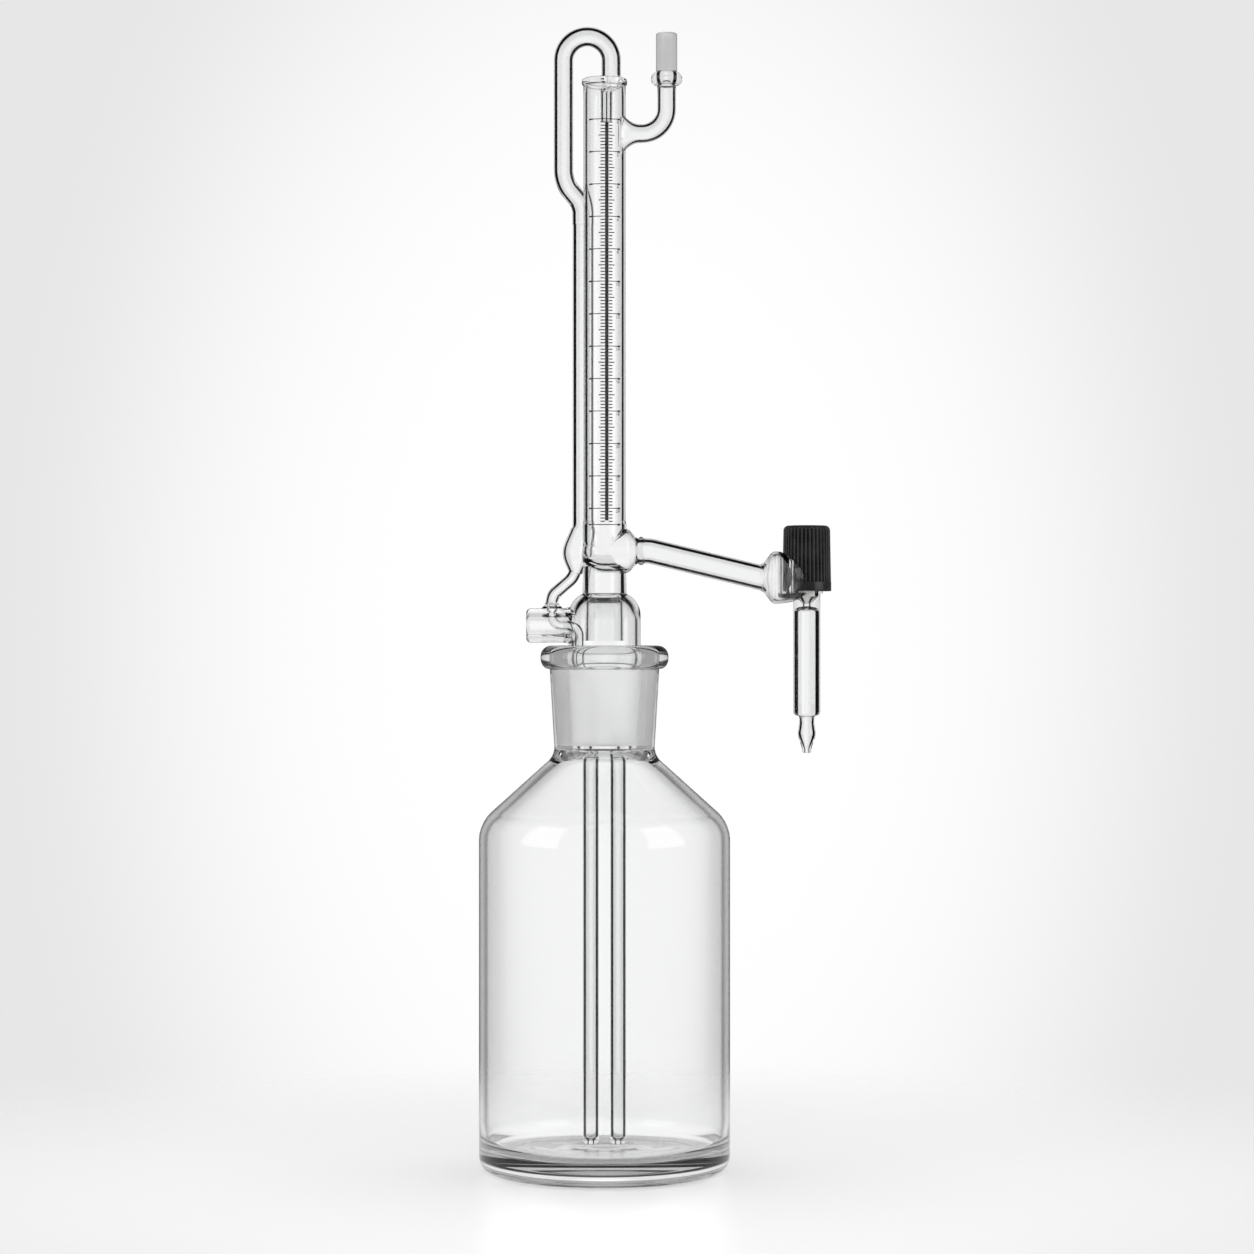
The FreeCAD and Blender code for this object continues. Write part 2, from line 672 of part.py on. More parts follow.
def stripe_strip():
    """Curved strip in the back wall of the measuring tube."""
    ring = post(TUBE_RADIUS, STRIPE_FOOT_Z, STRIPE_TOP_Z).cut(
        post(TUBE_RADIUS - STRIPE_DEPTH, STRIPE_FOOT_Z, STRIPE_TOP_Z)
    )
    slot = Part.makeBox(
        STRIPE_WIDTH, TUBE_RADIUS, STRIPE_TOP_Z - STRIPE_FOOT_Z, V(STRIPE_X - STRIPE_WIDTH / 2, 0, STRIPE_FOOT_Z)
    )
    return ring.common(slot)


def reading_stripe():
    """Dark stripe fused into the tube's back, which narrows at the meniscus."""
    return stripe_strip()


def graduated_tube():
    """Measuring tube, with an opening for the vent arm near its top."""
    body = tube_body().cut(post(TUBE_BORE, CHAMBER_Z, TUBE_TOP_Z))
    return body.cut(chamber_body()).cut(vent_flare(VENT_RADIUS - VENT_BORE)).cut(stripe_strip())


def vent_flare(shrink=0.0):
    """Trumpet by which the vent arm opens into the measuring tube, drawn in by an amount."""
    sections = []
    steps = 5
    for step in range(steps):
        share = step / (steps - 1)
        x = VENT_FLARE_START_X + share * (VENT_FLARE_END_X - VENT_FLARE_START_X)
        spread = (1 - share) ** 2
        half_height = VENT_RADIUS + spread * (VENT_FLARE_HALF_HEIGHT - VENT_RADIUS) - shrink + ROUND_OFFSET
        half_depth = VENT_RADIUS + spread * (VENT_FLARE_HALF_DEPTH - VENT_RADIUS) - shrink
        sections.append(oval(x, half_height, half_depth, VENT_Z))
    return Part.makeLoft(sections, True)


def vent_arm():
    """Side arm near the top, turned up to carry a guard tube."""
    points = [
        V(VENT_FLARE_END_X, 0, VENT_Z),
        V(VENT_X, 0, VENT_Z),
        V(VENT_X, 0, GUARD_BEAD_FOOT_Z),
    ]
    outside = rod(points, [VENT_BEND_RADIUS], VENT_RADIUS).fuse(vent_flare())
    inside = rod(points, [VENT_BEND_RADIUS], VENT_BORE).fuse(vent_flare(VENT_RADIUS - VENT_BORE))
    return outside.cut(inside).cut(tube_body()).removeSplitter()


def guard_joint():
    """Beaded ground joint on the vent arm that takes a guard tube."""
    bead_top = GUARD_BEAD_FOOT_Z + GUARD_BEAD_HEIGHT
    rim = (GUARD_JOINT_RADIUS - GUARD_JOINT_BORE) / 2
    outline = Profile(VENT_BORE, GUARD_BEAD_FOOT_Z)
    outline.line(VENT_RADIUS, GUARD_BEAD_FOOT_Z)
    outline.spline(
        (VENT_RADIUS + 0.62 * (GUARD_BEAD_RADIUS - VENT_RADIUS), GUARD_BEAD_FOOT_Z + 0.16 * GUARD_BEAD_HEIGHT),
        (GUARD_BEAD_RADIUS, GUARD_BEAD_FOOT_Z + 0.5 * GUARD_BEAD_HEIGHT),
        (VENT_RADIUS + 0.66 * (GUARD_BEAD_RADIUS - VENT_RADIUS), GUARD_BEAD_FOOT_Z + 0.84 * GUARD_BEAD_HEIGHT),
        (GUARD_JOINT_RADIUS, bead_top),
    )
    outline.line(GUARD_JOINT_RADIUS, GUARD_JOINT_TOP_Z - rim)
    outline.arc(
        (GUARD_JOINT_RADIUS - rim, GUARD_JOINT_TOP_Z),
        (GUARD_JOINT_BORE, GUARD_JOINT_TOP_Z - rim),
    )
    outline.line(GUARD_JOINT_BORE, bead_top)
    joint = outline.solid()
    joint.translate(V(VENT_X, 0, 0))
    return joint


def arm_points():
    """Route of the delivery arm from the junction chamber to the valve."""
    return [
        V(CHAMBER_END_X, 0, CHAMBER_Z),
        V(ARM_KNEE_X, 0, CHAMBER_Z),
        V(ARM_END_X, 0, CHAMBER_Z - ARM_SLOPE * (ARM_END_X - ARM_KNEE_X)),
    ]


def delivery_arm():
    """Sloping arm that carries liquid to the valve."""
    return tube(arm_points(), [ARM_BEND_RADIUS], ARM_RADIUS, ARM_BORE)


def barrel_form(shrink=0.0):
    """The valve barrel as a filled oval form along X, drawn in from its outside by an amount."""
    radius = BARREL_RADIUS - shrink
    start_radius = ARM_BORE if shrink else BARREL_WELD_RADIUS
    full_x = BARREL_FULL_X + 0.4 * shrink
    end_x = BARREL_END_X - shrink
    sections = []
    for step in range(BARREL_SECTIONS + 1):
        share = step / BARREL_SECTIONS
        swell = share * share * (3 - 2 * share)
        height = start_radius + swell * (radius - start_radius)
        factor = 1 + swell * (BARREL_DEPTH_FACTOR - 1)
        x = BARREL_START_X + share * (full_x - BARREL_START_X)
        sections.append(oval(x, height, height * factor + ROUND_OFFSET, VALVE_Z))
    for step in range(1, BARREL_SECTIONS + 2):
        share = 0.98 * math.sin(math.pi / 2 * step / (BARREL_SECTIONS + 1))
        height = radius * math.sqrt(1 - share * share)
        x = full_x + share * (end_x - full_x)
        sections.append(oval(x, height, height * BARREL_DEPTH_FACTOR, VALVE_Z))
    return Part.makeLoft(sections, True)


def valve_barrel():
    """Oval hollow barrel with a pocket in its top, in which the knob's lower half turns."""
    top = VALVE_Z + 2 * BARREL_RADIUS
    pocket = post(POCKET_RADIUS, POCKET_FLOOR_Z, top, VALVE_X)
    pocket_shell = post(POCKET_RADIUS + POCKET_WALL, POCKET_FLOOR_Z - POCKET_WALL, top, VALVE_X)
    hollow = barrel_form(BARREL_WALL).cut(pocket_shell)
    arm = rod(arm_points(), [ARM_BEND_RADIUS], ARM_RADIUS)
    outlet = post(OUTLET_RADIUS, SEAT_FLOOR_Z, POCKET_FLOOR_Z, VALVE_X)
    barrel = barrel_form().cut(pocket).cut(hollow).cut(arm).cut(outlet).cut(duct())
    return largest(barrel)


def duct():
    """Way for the liquid from the barrel's hollow to the needle's seat."""
    return bar(DUCT_RADIUS, VALVE_X - POCKET_RADIUS, VALVE_X, DUCT_Z)


def largest(shape):
    """The largest solid of a shape."""
    return max(shape.Solids, key=lambda solid: solid.Volume)


def valve_neck():
    """Glass neck that stands in the pocket, guides the needle and carries the knob."""
    return post(NECK_RADIUS, POCKET_FLOOR_Z, NECK_TOP_Z, VALVE_X).cut(
        post(NECK_BORE, POCKET_FLOOR_Z, NECK_TOP_Z, VALVE_X)
    )


def cone_height(radius):
    """Height at which the needle's cone has a radius."""
    rise = (SPINDLE_RADIUS - NEEDLE_TIP_RADIUS) / NEEDLE_CONE_HEIGHT
    return NEEDLE_TIP_Z + (radius - NEEDLE_TIP_RADIUS) / rise


def outlet_tube():
    """Vertical tube under the valve, with the needle's seat in its head."""
    seat_foot = cone_height(SEAT_HOLE_RADIUS - NEEDLE_SEAT_CLEARANCE)
    seat_top = cone_height(SEAT_CHAMBER_RADIUS - NEEDLE_SEAT_CLEARANCE)
    outline = Profile(JET_NECK_RADIUS, OUTLET_FOOT_Z)
    outline.round((OUTLET_RADIUS, OUTLET_FOOT_Z), (OUTLET_RADIUS, POCKET_FLOOR_Z), OUTLET_ROUND)
    outline.line(SEAT_CHAMBER_RADIUS, POCKET_FLOOR_Z)
    outline.line(SEAT_CHAMBER_RADIUS, seat_top)
    outline.line(SEAT_HOLE_RADIUS, seat_foot)
    outline.line(SEAT_HOLE_RADIUS, SEAT_FLOOR_Z)
    outline.arc(
        (0.8 * OUTLET_BORE, SEAT_FLOOR_Z - 0.35 * OUTLET_BORE),
        (OUTLET_BORE, SEAT_FLOOR_Z - OUTLET_BORE),
    )
    outline.line(OUTLET_BORE, OUTLET_FOOT_Z + OUTLET_ROUND)
    outline.line(JET_NECK_BORE, OUTLET_FOOT_Z)
    solid = outline.solid()
    solid.translate(V(VALVE_X, 0, 0))
    return solid.cut(duct())


def jet_tip():
    """Drawn-out jet with a fine hole."""
    wall = JET_NECK_RADIUS - JET_NECK_BORE
    foot = OUTLET_FOOT_Z - JET_LENGTH
    outline = Profile(JET_NECK_BORE, OUTLET_FOOT_Z)
    outline.line(JET_NECK_RADIUS, OUTLET_FOOT_Z)
    outline.spline(
        (JET_WAIST_RADIUS, OUTLET_FOOT_Z - JET_WAIST_DROP),
        (JET_SWELL_RADIUS, OUTLET_FOOT_Z - JET_SWELL_DROP),
        (JET_END_RADIUS, OUTLET_FOOT_Z - JET_TAPER_DROP),
    )
    outline.arc((0.8 * JET_END_RADIUS, foot + 0.4), (0.5 * JET_END_RADIUS, foot))
    outline.line(JET_HOLE, foot)
    outline.line(JET_HOLE, OUTLET_FOOT_Z - JET_TAPER_DROP)
    outline.spline(
        (JET_SWELL_RADIUS - 1.3 * wall, OUTLET_FOOT_Z - JET_SWELL_DROP),
        (JET_WAIST_RADIUS - wall, OUTLET_FOOT_Z - JET_WAIST_DROP),
        (JET_NECK_BORE, OUTLET_FOOT_Z),
    )
    solid = outline.solid()
    solid.translate(V(VALVE_X, 0, 0))
    return solid


def valve_spindle():
    """Needle that slides in the neck, with two grooves and a head that the knob holds."""
    cone_top = NEEDLE_TIP_Z + NEEDLE_CONE_HEIGHT
    outline = Profile(0, NEEDLE_TIP_Z)
    outline.line(NEEDLE_TIP_RADIUS, NEEDLE_TIP_Z)
    outline.line(SPINDLE_RADIUS, cone_top)
    for height in O_RING_HEIGHTS:
        outline.line(SPINDLE_RADIUS, height - O_RING_GROOVE_WIDTH / 2)
        outline.line(O_RING_GROOVE_RADIUS, height - O_RING_GROOVE_WIDTH / 2)
        outline.line(O_RING_GROOVE_RADIUS, height + O_RING_GROOVE_WIDTH / 2)
        outline.line(SPINDLE_RADIUS, height + O_RING_GROOVE_WIDTH / 2)
    outline.line(SPINDLE_RADIUS, HEAD_FOOT_Z)
    outline.line(HEAD_RADIUS, HEAD_FOOT_Z)
    outline.line(HEAD_RADIUS, HEAD_TOP_Z)
    outline.line(0, HEAD_TOP_Z)
    solid = outline.solid()
    solid.translate(V(VALVE_X, 0, 0))
    return solid


def spindle_o_rings():
    """Two rings that seal the needle in the neck."""
    section = (NECK_BORE - 0.5 * SPINDLE_CLEARANCE - O_RING_GROOVE_RADIUS) / 2
    rings = [
        Part.makeTorus(O_RING_GROOVE_RADIUS + section, section, V(VALVE_X, 0, height), UP)
        for height in O_RING_HEIGHTS
    ]
    return Part.makeCompound(rings)


def thrust_washer():
    """Low-friction washer between the needle's head and the knob's ceiling."""
    foot = CEILING_Z - WASHER_THICKNESS
    return post(HEAD_RADIUS, foot, CEILING_Z, VALVE_X).cut(post(WASHER_HOLE, foot, CEILING_Z, VALVE_X))


def retaining_ring():
    """Sprung open ring that holds the needle's head up in the knob."""
    top = HEAD_FOOT_Z - STACK_CLEARANCE
    outline = Profile(RING_HOLE, top - RING_THICKNESS)
    outline.line(RING_RADIUS, top - RING_THICKNESS)
    outline.line(RING_RADIUS, top)
    outline.line(RING_HOLE, top)
    ring = outline.solid(360.0 - RING_GAP_DEGREES)
    ring.translate(V(VALVE_X, 0, 0))
    return ring


def valve_knob():
    """Ribbed knob that screws on the neck and lifts the needle as it turns."""
    ring_top = HEAD_FOOT_Z - STACK_CLEARANCE
    ring_foot = ring_top - RING_THICKNESS
    thread_radius = NECK_RADIUS + THREAD_CLEARANCE
    band_top = KNOB_FOOT_Z + KNOB_BAND_HEIGHT
    rib_top = KNOB_TOP_Z - KNOB_TOP_ROUND
    soften = 0.3
    outline = Profile(0, CEILING_Z)
    outline.line(0, KNOB_TOP_Z)
    outline.line(KNOB_RIB_TOP_RADIUS - KNOB_TOP_ROUND, KNOB_TOP_Z)
    outline.arc(
        (
            KNOB_RIB_TOP_RADIUS - KNOB_TOP_ROUND * (1 - math.sqrt(0.5)),
            KNOB_TOP_Z - KNOB_TOP_ROUND * (1 - math.sqrt(0.5)),
        ),
        (KNOB_RIB_TOP_RADIUS, rib_top),
    )
    outline.line(KNOB_RIB_FOOT_RADIUS, band_top)
    outline.line(KNOB_BAND_RADIUS, band_top - soften)
    outline.line(KNOB_BAND_RADIUS, KNOB_FOOT_Z + soften)
    outline.line(KNOB_BAND_RADIUS - soften, KNOB_FOOT_Z)
    outline.line(thread_radius + soften, KNOB_FOOT_Z)
    outline.line(thread_radius, KNOB_FOOT_Z + soften)
    outline.line(thread_radius, ring_foot)
    outline.line(RING_GROOVE_RADIUS, ring_foot)
    outline.line(RING_GROOVE_RADIUS, ring_top)
    outline.line(HEAD_CHAMBER_RADIUS, ring_top)
    outline.line(HEAD_CHAMBER_RADIUS, CEILING_Z)
    knob = outline.solid()
    centre_shift = KNOB_GROOVE_RADIUS - KNOB_GROOVE_DEPTH
    foot = V(KNOB_RIB_FOOT_RADIUS + centre_shift, 0, band_top)
    top = V(KNOB_RIB_TOP_RADIUS + centre_shift, 0, rib_top)
    reach = (top - foot) * (1 + KNOB_TOP_ROUND / (rib_top - band_top))
    grooves = []
    for index in range(KNOB_RIBS):
        groove = Part.makeCylinder(KNOB_GROOVE_RADIUS, reach.Length, foot, reach)
        groove.rotate(V(0, 0, 0), UP, 360.0 * index / KNOB_RIBS)
        grooves.append(groove)
    knob = knob.cut(Part.makeCompound(grooves))
    knob.translate(V(VALVE_X, 0, 0))
    return knob


NODES = (
    reservoir_bottle,
    ground_cone,
    cone_bell,
    support_stem,
    filling_dip_tube,
    air_dip_tube,
    inner_filling_tube,
    hose_port,
    link_tube,
    riser_bulb,
    riser_tube,
    overflow_loop,
    zero_tip,
    tube_top_seal,
    junction_chamber,
    graduated_tube,
    reading_stripe,
    vent_arm,
    guard_joint,
    delivery_arm,
    valve_barrel,
    valve_neck,
    outlet_tube,
    jet_tip,
    valve_spindle,
    spindle_o_rings,
    thrust_washer,
    retaining_ring,
    valve_knob,
)


def main():
    """Build every piece and write it to its own file."""
    os.makedirs("parts", exist_ok=True)
    for build in NODES:
        shape = build()
        name = build.__name__
        state = "valid" if shape.isValid() else "NOT VALID"
        print(f"{name}: {len(shape.Solids)} solid(s), {shape.Volume:.1f} mm3, {state}")
        shape.exportStep(f"parts/{name}.step")


if __name__ == "__main__":
    main()
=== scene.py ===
"""Automatic zero burette on its glass reservoir bottle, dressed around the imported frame.

The makers' classes hold their sizes in millimetres. Glass is blown as filled forms that are joined and
then hollowed, and every finished mesh is scaled to metres in the frame's own place.
"""

from __future__ import annotations

import logging
import math
import sys
from dataclasses import dataclass, field
from enum import Enum, IntEnum
from typing import Callable, Iterable, Sequence, Union

import bmesh
import bpy
from mathutils import Matrix, Vector


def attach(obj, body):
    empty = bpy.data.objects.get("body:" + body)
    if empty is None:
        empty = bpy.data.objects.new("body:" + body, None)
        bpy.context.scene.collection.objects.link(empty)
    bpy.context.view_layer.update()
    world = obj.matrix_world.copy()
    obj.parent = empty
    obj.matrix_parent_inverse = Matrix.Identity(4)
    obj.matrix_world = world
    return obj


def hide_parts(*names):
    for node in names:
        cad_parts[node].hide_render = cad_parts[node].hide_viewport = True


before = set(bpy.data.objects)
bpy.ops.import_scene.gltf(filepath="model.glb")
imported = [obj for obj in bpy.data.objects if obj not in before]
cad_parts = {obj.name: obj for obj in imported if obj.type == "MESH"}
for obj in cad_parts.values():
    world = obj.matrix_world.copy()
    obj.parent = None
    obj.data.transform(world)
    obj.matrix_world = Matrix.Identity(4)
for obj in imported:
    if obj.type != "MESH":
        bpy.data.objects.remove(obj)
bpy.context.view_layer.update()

log = logging.getLogger("burette")

Form = Union[bpy.types.Object, bmesh.types.BMesh]
Tint = tuple[float, float, float, float]

MM = 0.001
WELD = 0.002
SHARP_ANGLE = math.radians(32.0)
FILLET_STEP = 9
BEND_STEP = 6
BAND_STEP = 5
PATCH_RANGE = (0.3, 0.7)
PICTURE_WIDTH = 1254
GLASS_IOR = 1.47
GROOVE_SHARES = {0: 1.0, 1: 0.86, 2: 0.3, 6: 0.3, 7: 0.86}


class Work(Enum):
    """What a tool does to a blank on the bench."""

    JOIN = "UNION"
    HOLLOW = "DIFFERENCE"


class Along(Enum):
    """The axis that a turned piece is laid along."""

    X = "x"
    Z = "z"


class Body(str, Enum):
    """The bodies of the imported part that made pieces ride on."""

    BOTTLE = "bottle"
    HEAD = "burette_head"
    KNOB = "knob"


class HeadGlass(IntEnum):
    """Finishes of the burette head's glass, in the order in which its mesh holds them."""

    CLEAR = 0
    GROUND = 1
    GUARD = 2
    PORT = 3
    SEAL = 4


@dataclass(frozen=True)
class Corner:
    """One corner of a turned outline.

    Args:
        radius: Distance from the axis.
        height: Place along the axis.
        fillet: Radius of the rounding, or nothing.
    """

    radius: float
    height: float
    fillet: float = 0.0


@dataclass(frozen=True)
class Oval:
    """One upright elliptical section across the X axis."""

    x: float
    half_height: float
    half_depth: float


def eased(share: float) -> float:
    """A share of the way that starts and ends softly."""
    return share * share * (3 - 2 * share)


def led_to_axis(corners: Sequence[Corner]) -> list[Corner]:
    """The outline with each end led level to the axis, where it doesn't end there."""
    ends = [[Corner(0.0, end.height)] if end.radius else [] for end in (corners[0], corners[-1])]
    return [*ends[0], *corners, *ends[1]]


def turn_between(before: Vector, corner: Vector, after: Vector) -> float:
    """The angle by which a line turns at a corner."""
    return (corner - before).angle(after - corner, 0.0)


def outline_mesh(corners: Sequence[Corner], longest_run: float) -> bmesh.types.BMesh:
    """Draw an outline in the XZ plane and round its corners.

    Args:
        corners: The corners in order.
        longest_run: Edges longer than this are divided.

    Returns:
        A mesh of edges only.
    """
    mesh = bmesh.new()
    verts = [mesh.verts.new((corner.radius, 0.0, corner.height)) for corner in corners]
    for pair in zip(verts, verts[1:]):
        mesh.edges.new(pair)
    places = [vert.co.copy() for vert in verts]
    for index in range(1, len(corners) - 1):
        fillet = corners[index].fillet
        if not fillet:
            continue
        turn = turn_between(places[index - 1], places[index], places[index + 1])
        bmesh.ops.bevel(
            mesh,
            geom=[verts[index]],
            offset=fillet * math.tan(turn / 2),
            offset_type="OFFSET",
            segments=max(3, round(math.degrees(turn) / FILLET_STEP)),
            profile=0.5,
            affect="VERTICES",
            material=-1,
        )
    bmesh.ops.remove_doubles(mesh, verts=mesh.verts[:], dist=WELD)
    for edge in mesh.edges[:]:
        cuts = int(edge.calc_length() / longest_run)
        if cuts:
            bmesh.ops.subdivide_edges(mesh, edges=[edge], cuts=cuts)
    return mesh


def turned(
    corners: Sequence[Corner],
    steps: int = 64,
    along: Along = Along.Z,
    place: Vector = Vector((0.0, 0.0, 0.0)),
    longest_run: float = 5.0,
) -> bmesh.types.BMesh:
    """Turn an outline into a solid of revolution.

    Args:
        corners: The outline, whose ends are led to the axis.
        steps: Facets round the axis.
        along: Axis that the finished piece is laid along.
        place: Where the axis passes.
        longest_run: Longest edge along the outline.

    Returns:
        The mesh in millimetres.
    """
    mesh = outline_mesh(led_to_axis(corners), longest_run)
    bmesh.ops.spin(
        mesh,
        geom=mesh.verts[:] + mesh.edges[:],
        cent=(0.0, 0.0, 0.0),
        axis=(0.0, 0.0, 1.0),
        angle=math.tau,
        steps=steps,
        use_merge=True,
    )
    bmesh.ops.remove_doubles(mesh, verts=mesh.verts[:], dist=WELD)
    if along is Along.X:
        bmesh.ops.rotate(mesh, verts=mesh.verts[:], cent=(0, 0, 0), matrix=Matrix.Rotation(math.pi / 2, 3, "Y"))
    bmesh.ops.translate(mesh, verts=mesh.verts[:], vec=place)
    bmesh.ops.recalc_face_normals(mesh, faces=mesh.faces[:])
    return mesh


def push_ring(mesh: bmesh.types.BMesh, ring: list, step: Vector) -> list:
    """Extrude a ring of edges by a step.

    Args:
        mesh: The mesh that holds the ring.
        ring: Edges of the ring.
        step: How far the new ring lies from it.

    Returns:
        Edges of the new ring.
    """
    made = bmesh.ops.extrude_edge_only(mesh, edges=ring)["geom"]
    verts = [item for item in made if isinstance(item, bmesh.types.BMVert)]
    bmesh.ops.translate(mesh, verts=verts, vec=step)
    fresh = set(verts)
    return [
        item
        for item in made
        if isinstance(item, bmesh.types.BMEdge) and item.verts[0] in fresh and item.verts[1] in fresh
    ]


def ring_verts(ring: Iterable[bmesh.types.BMEdge]) -> list:
    """The vertices of a ring of edges, each once."""
    return list({vert for edge in ring for vert in edge.verts})


def close_ends(mesh: bmesh.types.BMesh) -> bmesh.types.BMesh:
    """Fill the open ends of a drawn form and turn its faces outwards."""
    bmesh.ops.holes_fill(mesh, edges=mesh.edges[:], sides=0)
    bmesh.ops.recalc_face_normals(mesh, faces=mesh.faces[:])
    return mesh


def drawn(
    points: Sequence[tuple[float, float, float]],
    bends: Sequence[float],
    radius: float,
    sides: int = 40,
    longest_run: float = 5.0,
) -> bmesh.types.BMesh:
    """Draw a round rod along straight runs joined by arcs.

    Args:
        points: The ends and the corners of the route.
        bends: Radius of the arc at each corner.
        radius: Radius of the rod.
        sides: Facets round the rod.
        longest_run: Longest facet along the rod.

    Returns:
        The filled rod in millimetres.
    """
    route = [Vector(point) for point in points]
    mesh = bmesh.new()
    facing = (route[1] - route[0]).to_track_quat("Z", "Y").to_matrix().to_4x4()
    start = Matrix.Translation(route[0]) @ facing
    bmesh.ops.create_circle(mesh, cap_ends=False, segments=sides, radius=radius, matrix=start)
    ring = mesh.edges[:]
    at = route[0]

    def run_to(end: Vector) -> None:
        """Draw on in a straight line."""
        nonlocal ring, at
        length = (end - at).length
        if length > WELD:
            count = int(length / longest_run) + 1
            for _ in range(count):
                ring = push_ring(mesh, ring, (end - at) / count)
        at = end

    for index, bend in enumerate(bends):
        before, corner, after = route[index : index + 3]
        come = (corner - before).normalized()
        leave = (after - corner).normalized()
        turn = turn_between(before, corner, after)
        tangent = bend * math.tan(turn / 2)
        run_to(corner - come * tangent)
        centre = corner + (leave - come).normalized() * (bend / math.cos(turn / 2))
        spun = bmesh.ops.spin(
            mesh,
            geom=ring_verts(ring) + list(ring),
            cent=centre,
            axis=come.cross(leave),
            angle=turn,
            steps=max(3, round(math.degrees(turn) / BEND_STEP)),
        )
        ring = [item for item in spun["geom_last"] if isinstance(item, bmesh.types.BMEdge)]
        at = corner + leave * tangent
    run_to(route[-1])
    return close_ends(mesh)


def lofted(ovals: Sequence[Oval], height: float, sides: int = 72) -> bmesh.types.BMesh:
    """Draw a form along X through upright ovals.

    Args:
        ovals: The sections in order.
        height: Height of their centres.
        sides: Facets round the form.

    Returns:
        The filled form in millimetres.
    """
    first = ovals[0]
    mesh = bmesh.new()
    upright = Matrix.Translation((first.x, 0.0, height)) @ Matrix.Rotation(math.pi / 2, 4, "Y")
    bmesh.ops.create_circle(mesh, cap_ends=False, segments=sides, radius=1.0, matrix=upright)
    ring = mesh.edges[:]
    last = Oval(first.x, 1.0, 1.0)
    for oval in ovals:
        if oval is not first:
            ring = push_ring(mesh, ring, Vector((oval.x - last.x, 0.0, 0.0)))
        bmesh.ops.scale(
            mesh,
            vec=(1.0, oval.half_depth / last.half_depth, oval.half_height / last.half_height),
            space=Matrix.Translation((-oval.x, 0.0, -height)),
            verts=ring_verts(ring),
        )
        last = oval
    return close_ends(mesh)


def stacked(rings: Sequence[tuple[float, float, float, float]], sides: int = 48) -> bmesh.types.BMesh:
    """Draw an upright form through level rings, whose middles need not be in line.

    Args:
        rings: X, Y, height and radius of each ring, in order.
        sides: Facets round the form.

    Returns:
        The filled form in millimetres.
    """
    x, y, z, radius = rings[0]
    mesh = bmesh.new()
    bmesh.ops.create_circle(mesh, cap_ends=False, segments=sides, radius=radius, matrix=Matrix.Translation((x, y, z)))
    edges = mesh.edges[:]
    middle = Vector((x, y, z))
    for x, y, z, wide in rings[1:]:
        place = Vector((x, y, z))
        edges = push_ring(mesh, edges, place - middle)
        share = wide / radius
        bmesh.ops.scale(mesh, vec=(share, share, 1.0), space=Matrix.Translation(-place), verts=ring_verts(edges))
        middle, radius = place, wide
    return close_ends(mesh)


def post(radius: float, foot: float, top: float, x: float = 0.0, steps: int = 64) -> bmesh.types.BMesh:
    """An upright filled cylinder between two heights."""
    return turned([Corner(radius, foot), Corner(radius, top)], steps, place=Vector((x, 0.0, 0.0)))


def on_bench(form: Form) -> bpy.types.Object:
    """Put a form on the bench as an object that the boolean tools can reach, unless it is there."""
    if isinstance(form, bpy.types.Object):
        return form
    data = bpy.data.meshes.new("blank")
    form.to_mesh(data)
    form.free()
    blank = bpy.data.objects.new("blank", data)
    bpy.context.scene.collection.objects.link(blank)
    return blank


def worked(form: Form, tools: Sequence[Form], work: Work) -> bpy.types.Object:
    """Join forms to a form or hollow it with them.

    Args:
        form: The form that is worked on.
        tools: The other forms, which are used up.
        work: Whether they join or hollow.

    Returns:
        The worked form as an object.
    """
    blank = on_bench(form)
    tools = [on_bench(tool) for tool in tools]
    for tool in tools:
        step = blank.modifiers.new("work", "BOOLEAN")
        step.operation = work.value
        step.object = tool
        step.solver = "MANIFOLD"
    graph = bpy.context.evaluated_depsgraph_get()
    data = bpy.data.meshes.new_from_object(blank.evaluated_get(graph))
    blank.modifiers.clear()
    blank.data = data
    for tool in tools:
        bpy.data.objects.remove(tool, do_unlink=True)
    return blank


def finished(
    form: Form,
    name: str,
    body: Body,
    materials: Sequence[bpy.types.Material],
    sharp: float = SHARP_ANGLE,
    choose: Callable[[Vector, Vector], int] | None = None,
) -> bpy.types.Object:
    """Scale a piece to metres, set its edges and finish, and hand it to its body.

    Args:
        form: The piece in millimetres.
        name: Its name in the model.
        body: The body it rides on.
        materials: Its materials.
        sharp: Angle past which an edge shows.
        choose: Gives the material's number for a face's centre and normal, in millimetres.

    Returns:
        The finished object.
    """
    blank = on_bench(form)
    mesh = bmesh.new()
    mesh.from_mesh(blank.data)
    bmesh.ops.remove_doubles(mesh, verts=mesh.verts[:], dist=WELD)
    bmesh.ops.dissolve_degenerate(mesh, dist=WELD, edges=mesh.edges[:])
    for face in mesh.faces:
        face.smooth = True
        face.material_index = int(choose(face.calc_center_median(), face.normal)) if choose else 0
    for edge in mesh.edges:
        edge.smooth = edge.calc_face_angle(0.0) < sharp
    open_edges = sum(not edge.is_manifold for edge in mesh.edges)
    bmesh.ops.scale(mesh, vec=(MM, MM, MM), verts=mesh.verts[:])
    data = bpy.data.meshes.new(name)
    mesh.to_mesh(data)
    triangles = sum(len(face.verts) - 2 for face in mesh.faces)
    mesh.free()
    blank.data = data
    blank.name = name
    for material in materials:
        data.materials.append(material)
    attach(blank, body.value)
    log.info("%s: %d triangles, %d open edges, on %s", name, triangles, open_edges, body.value)
    return blank


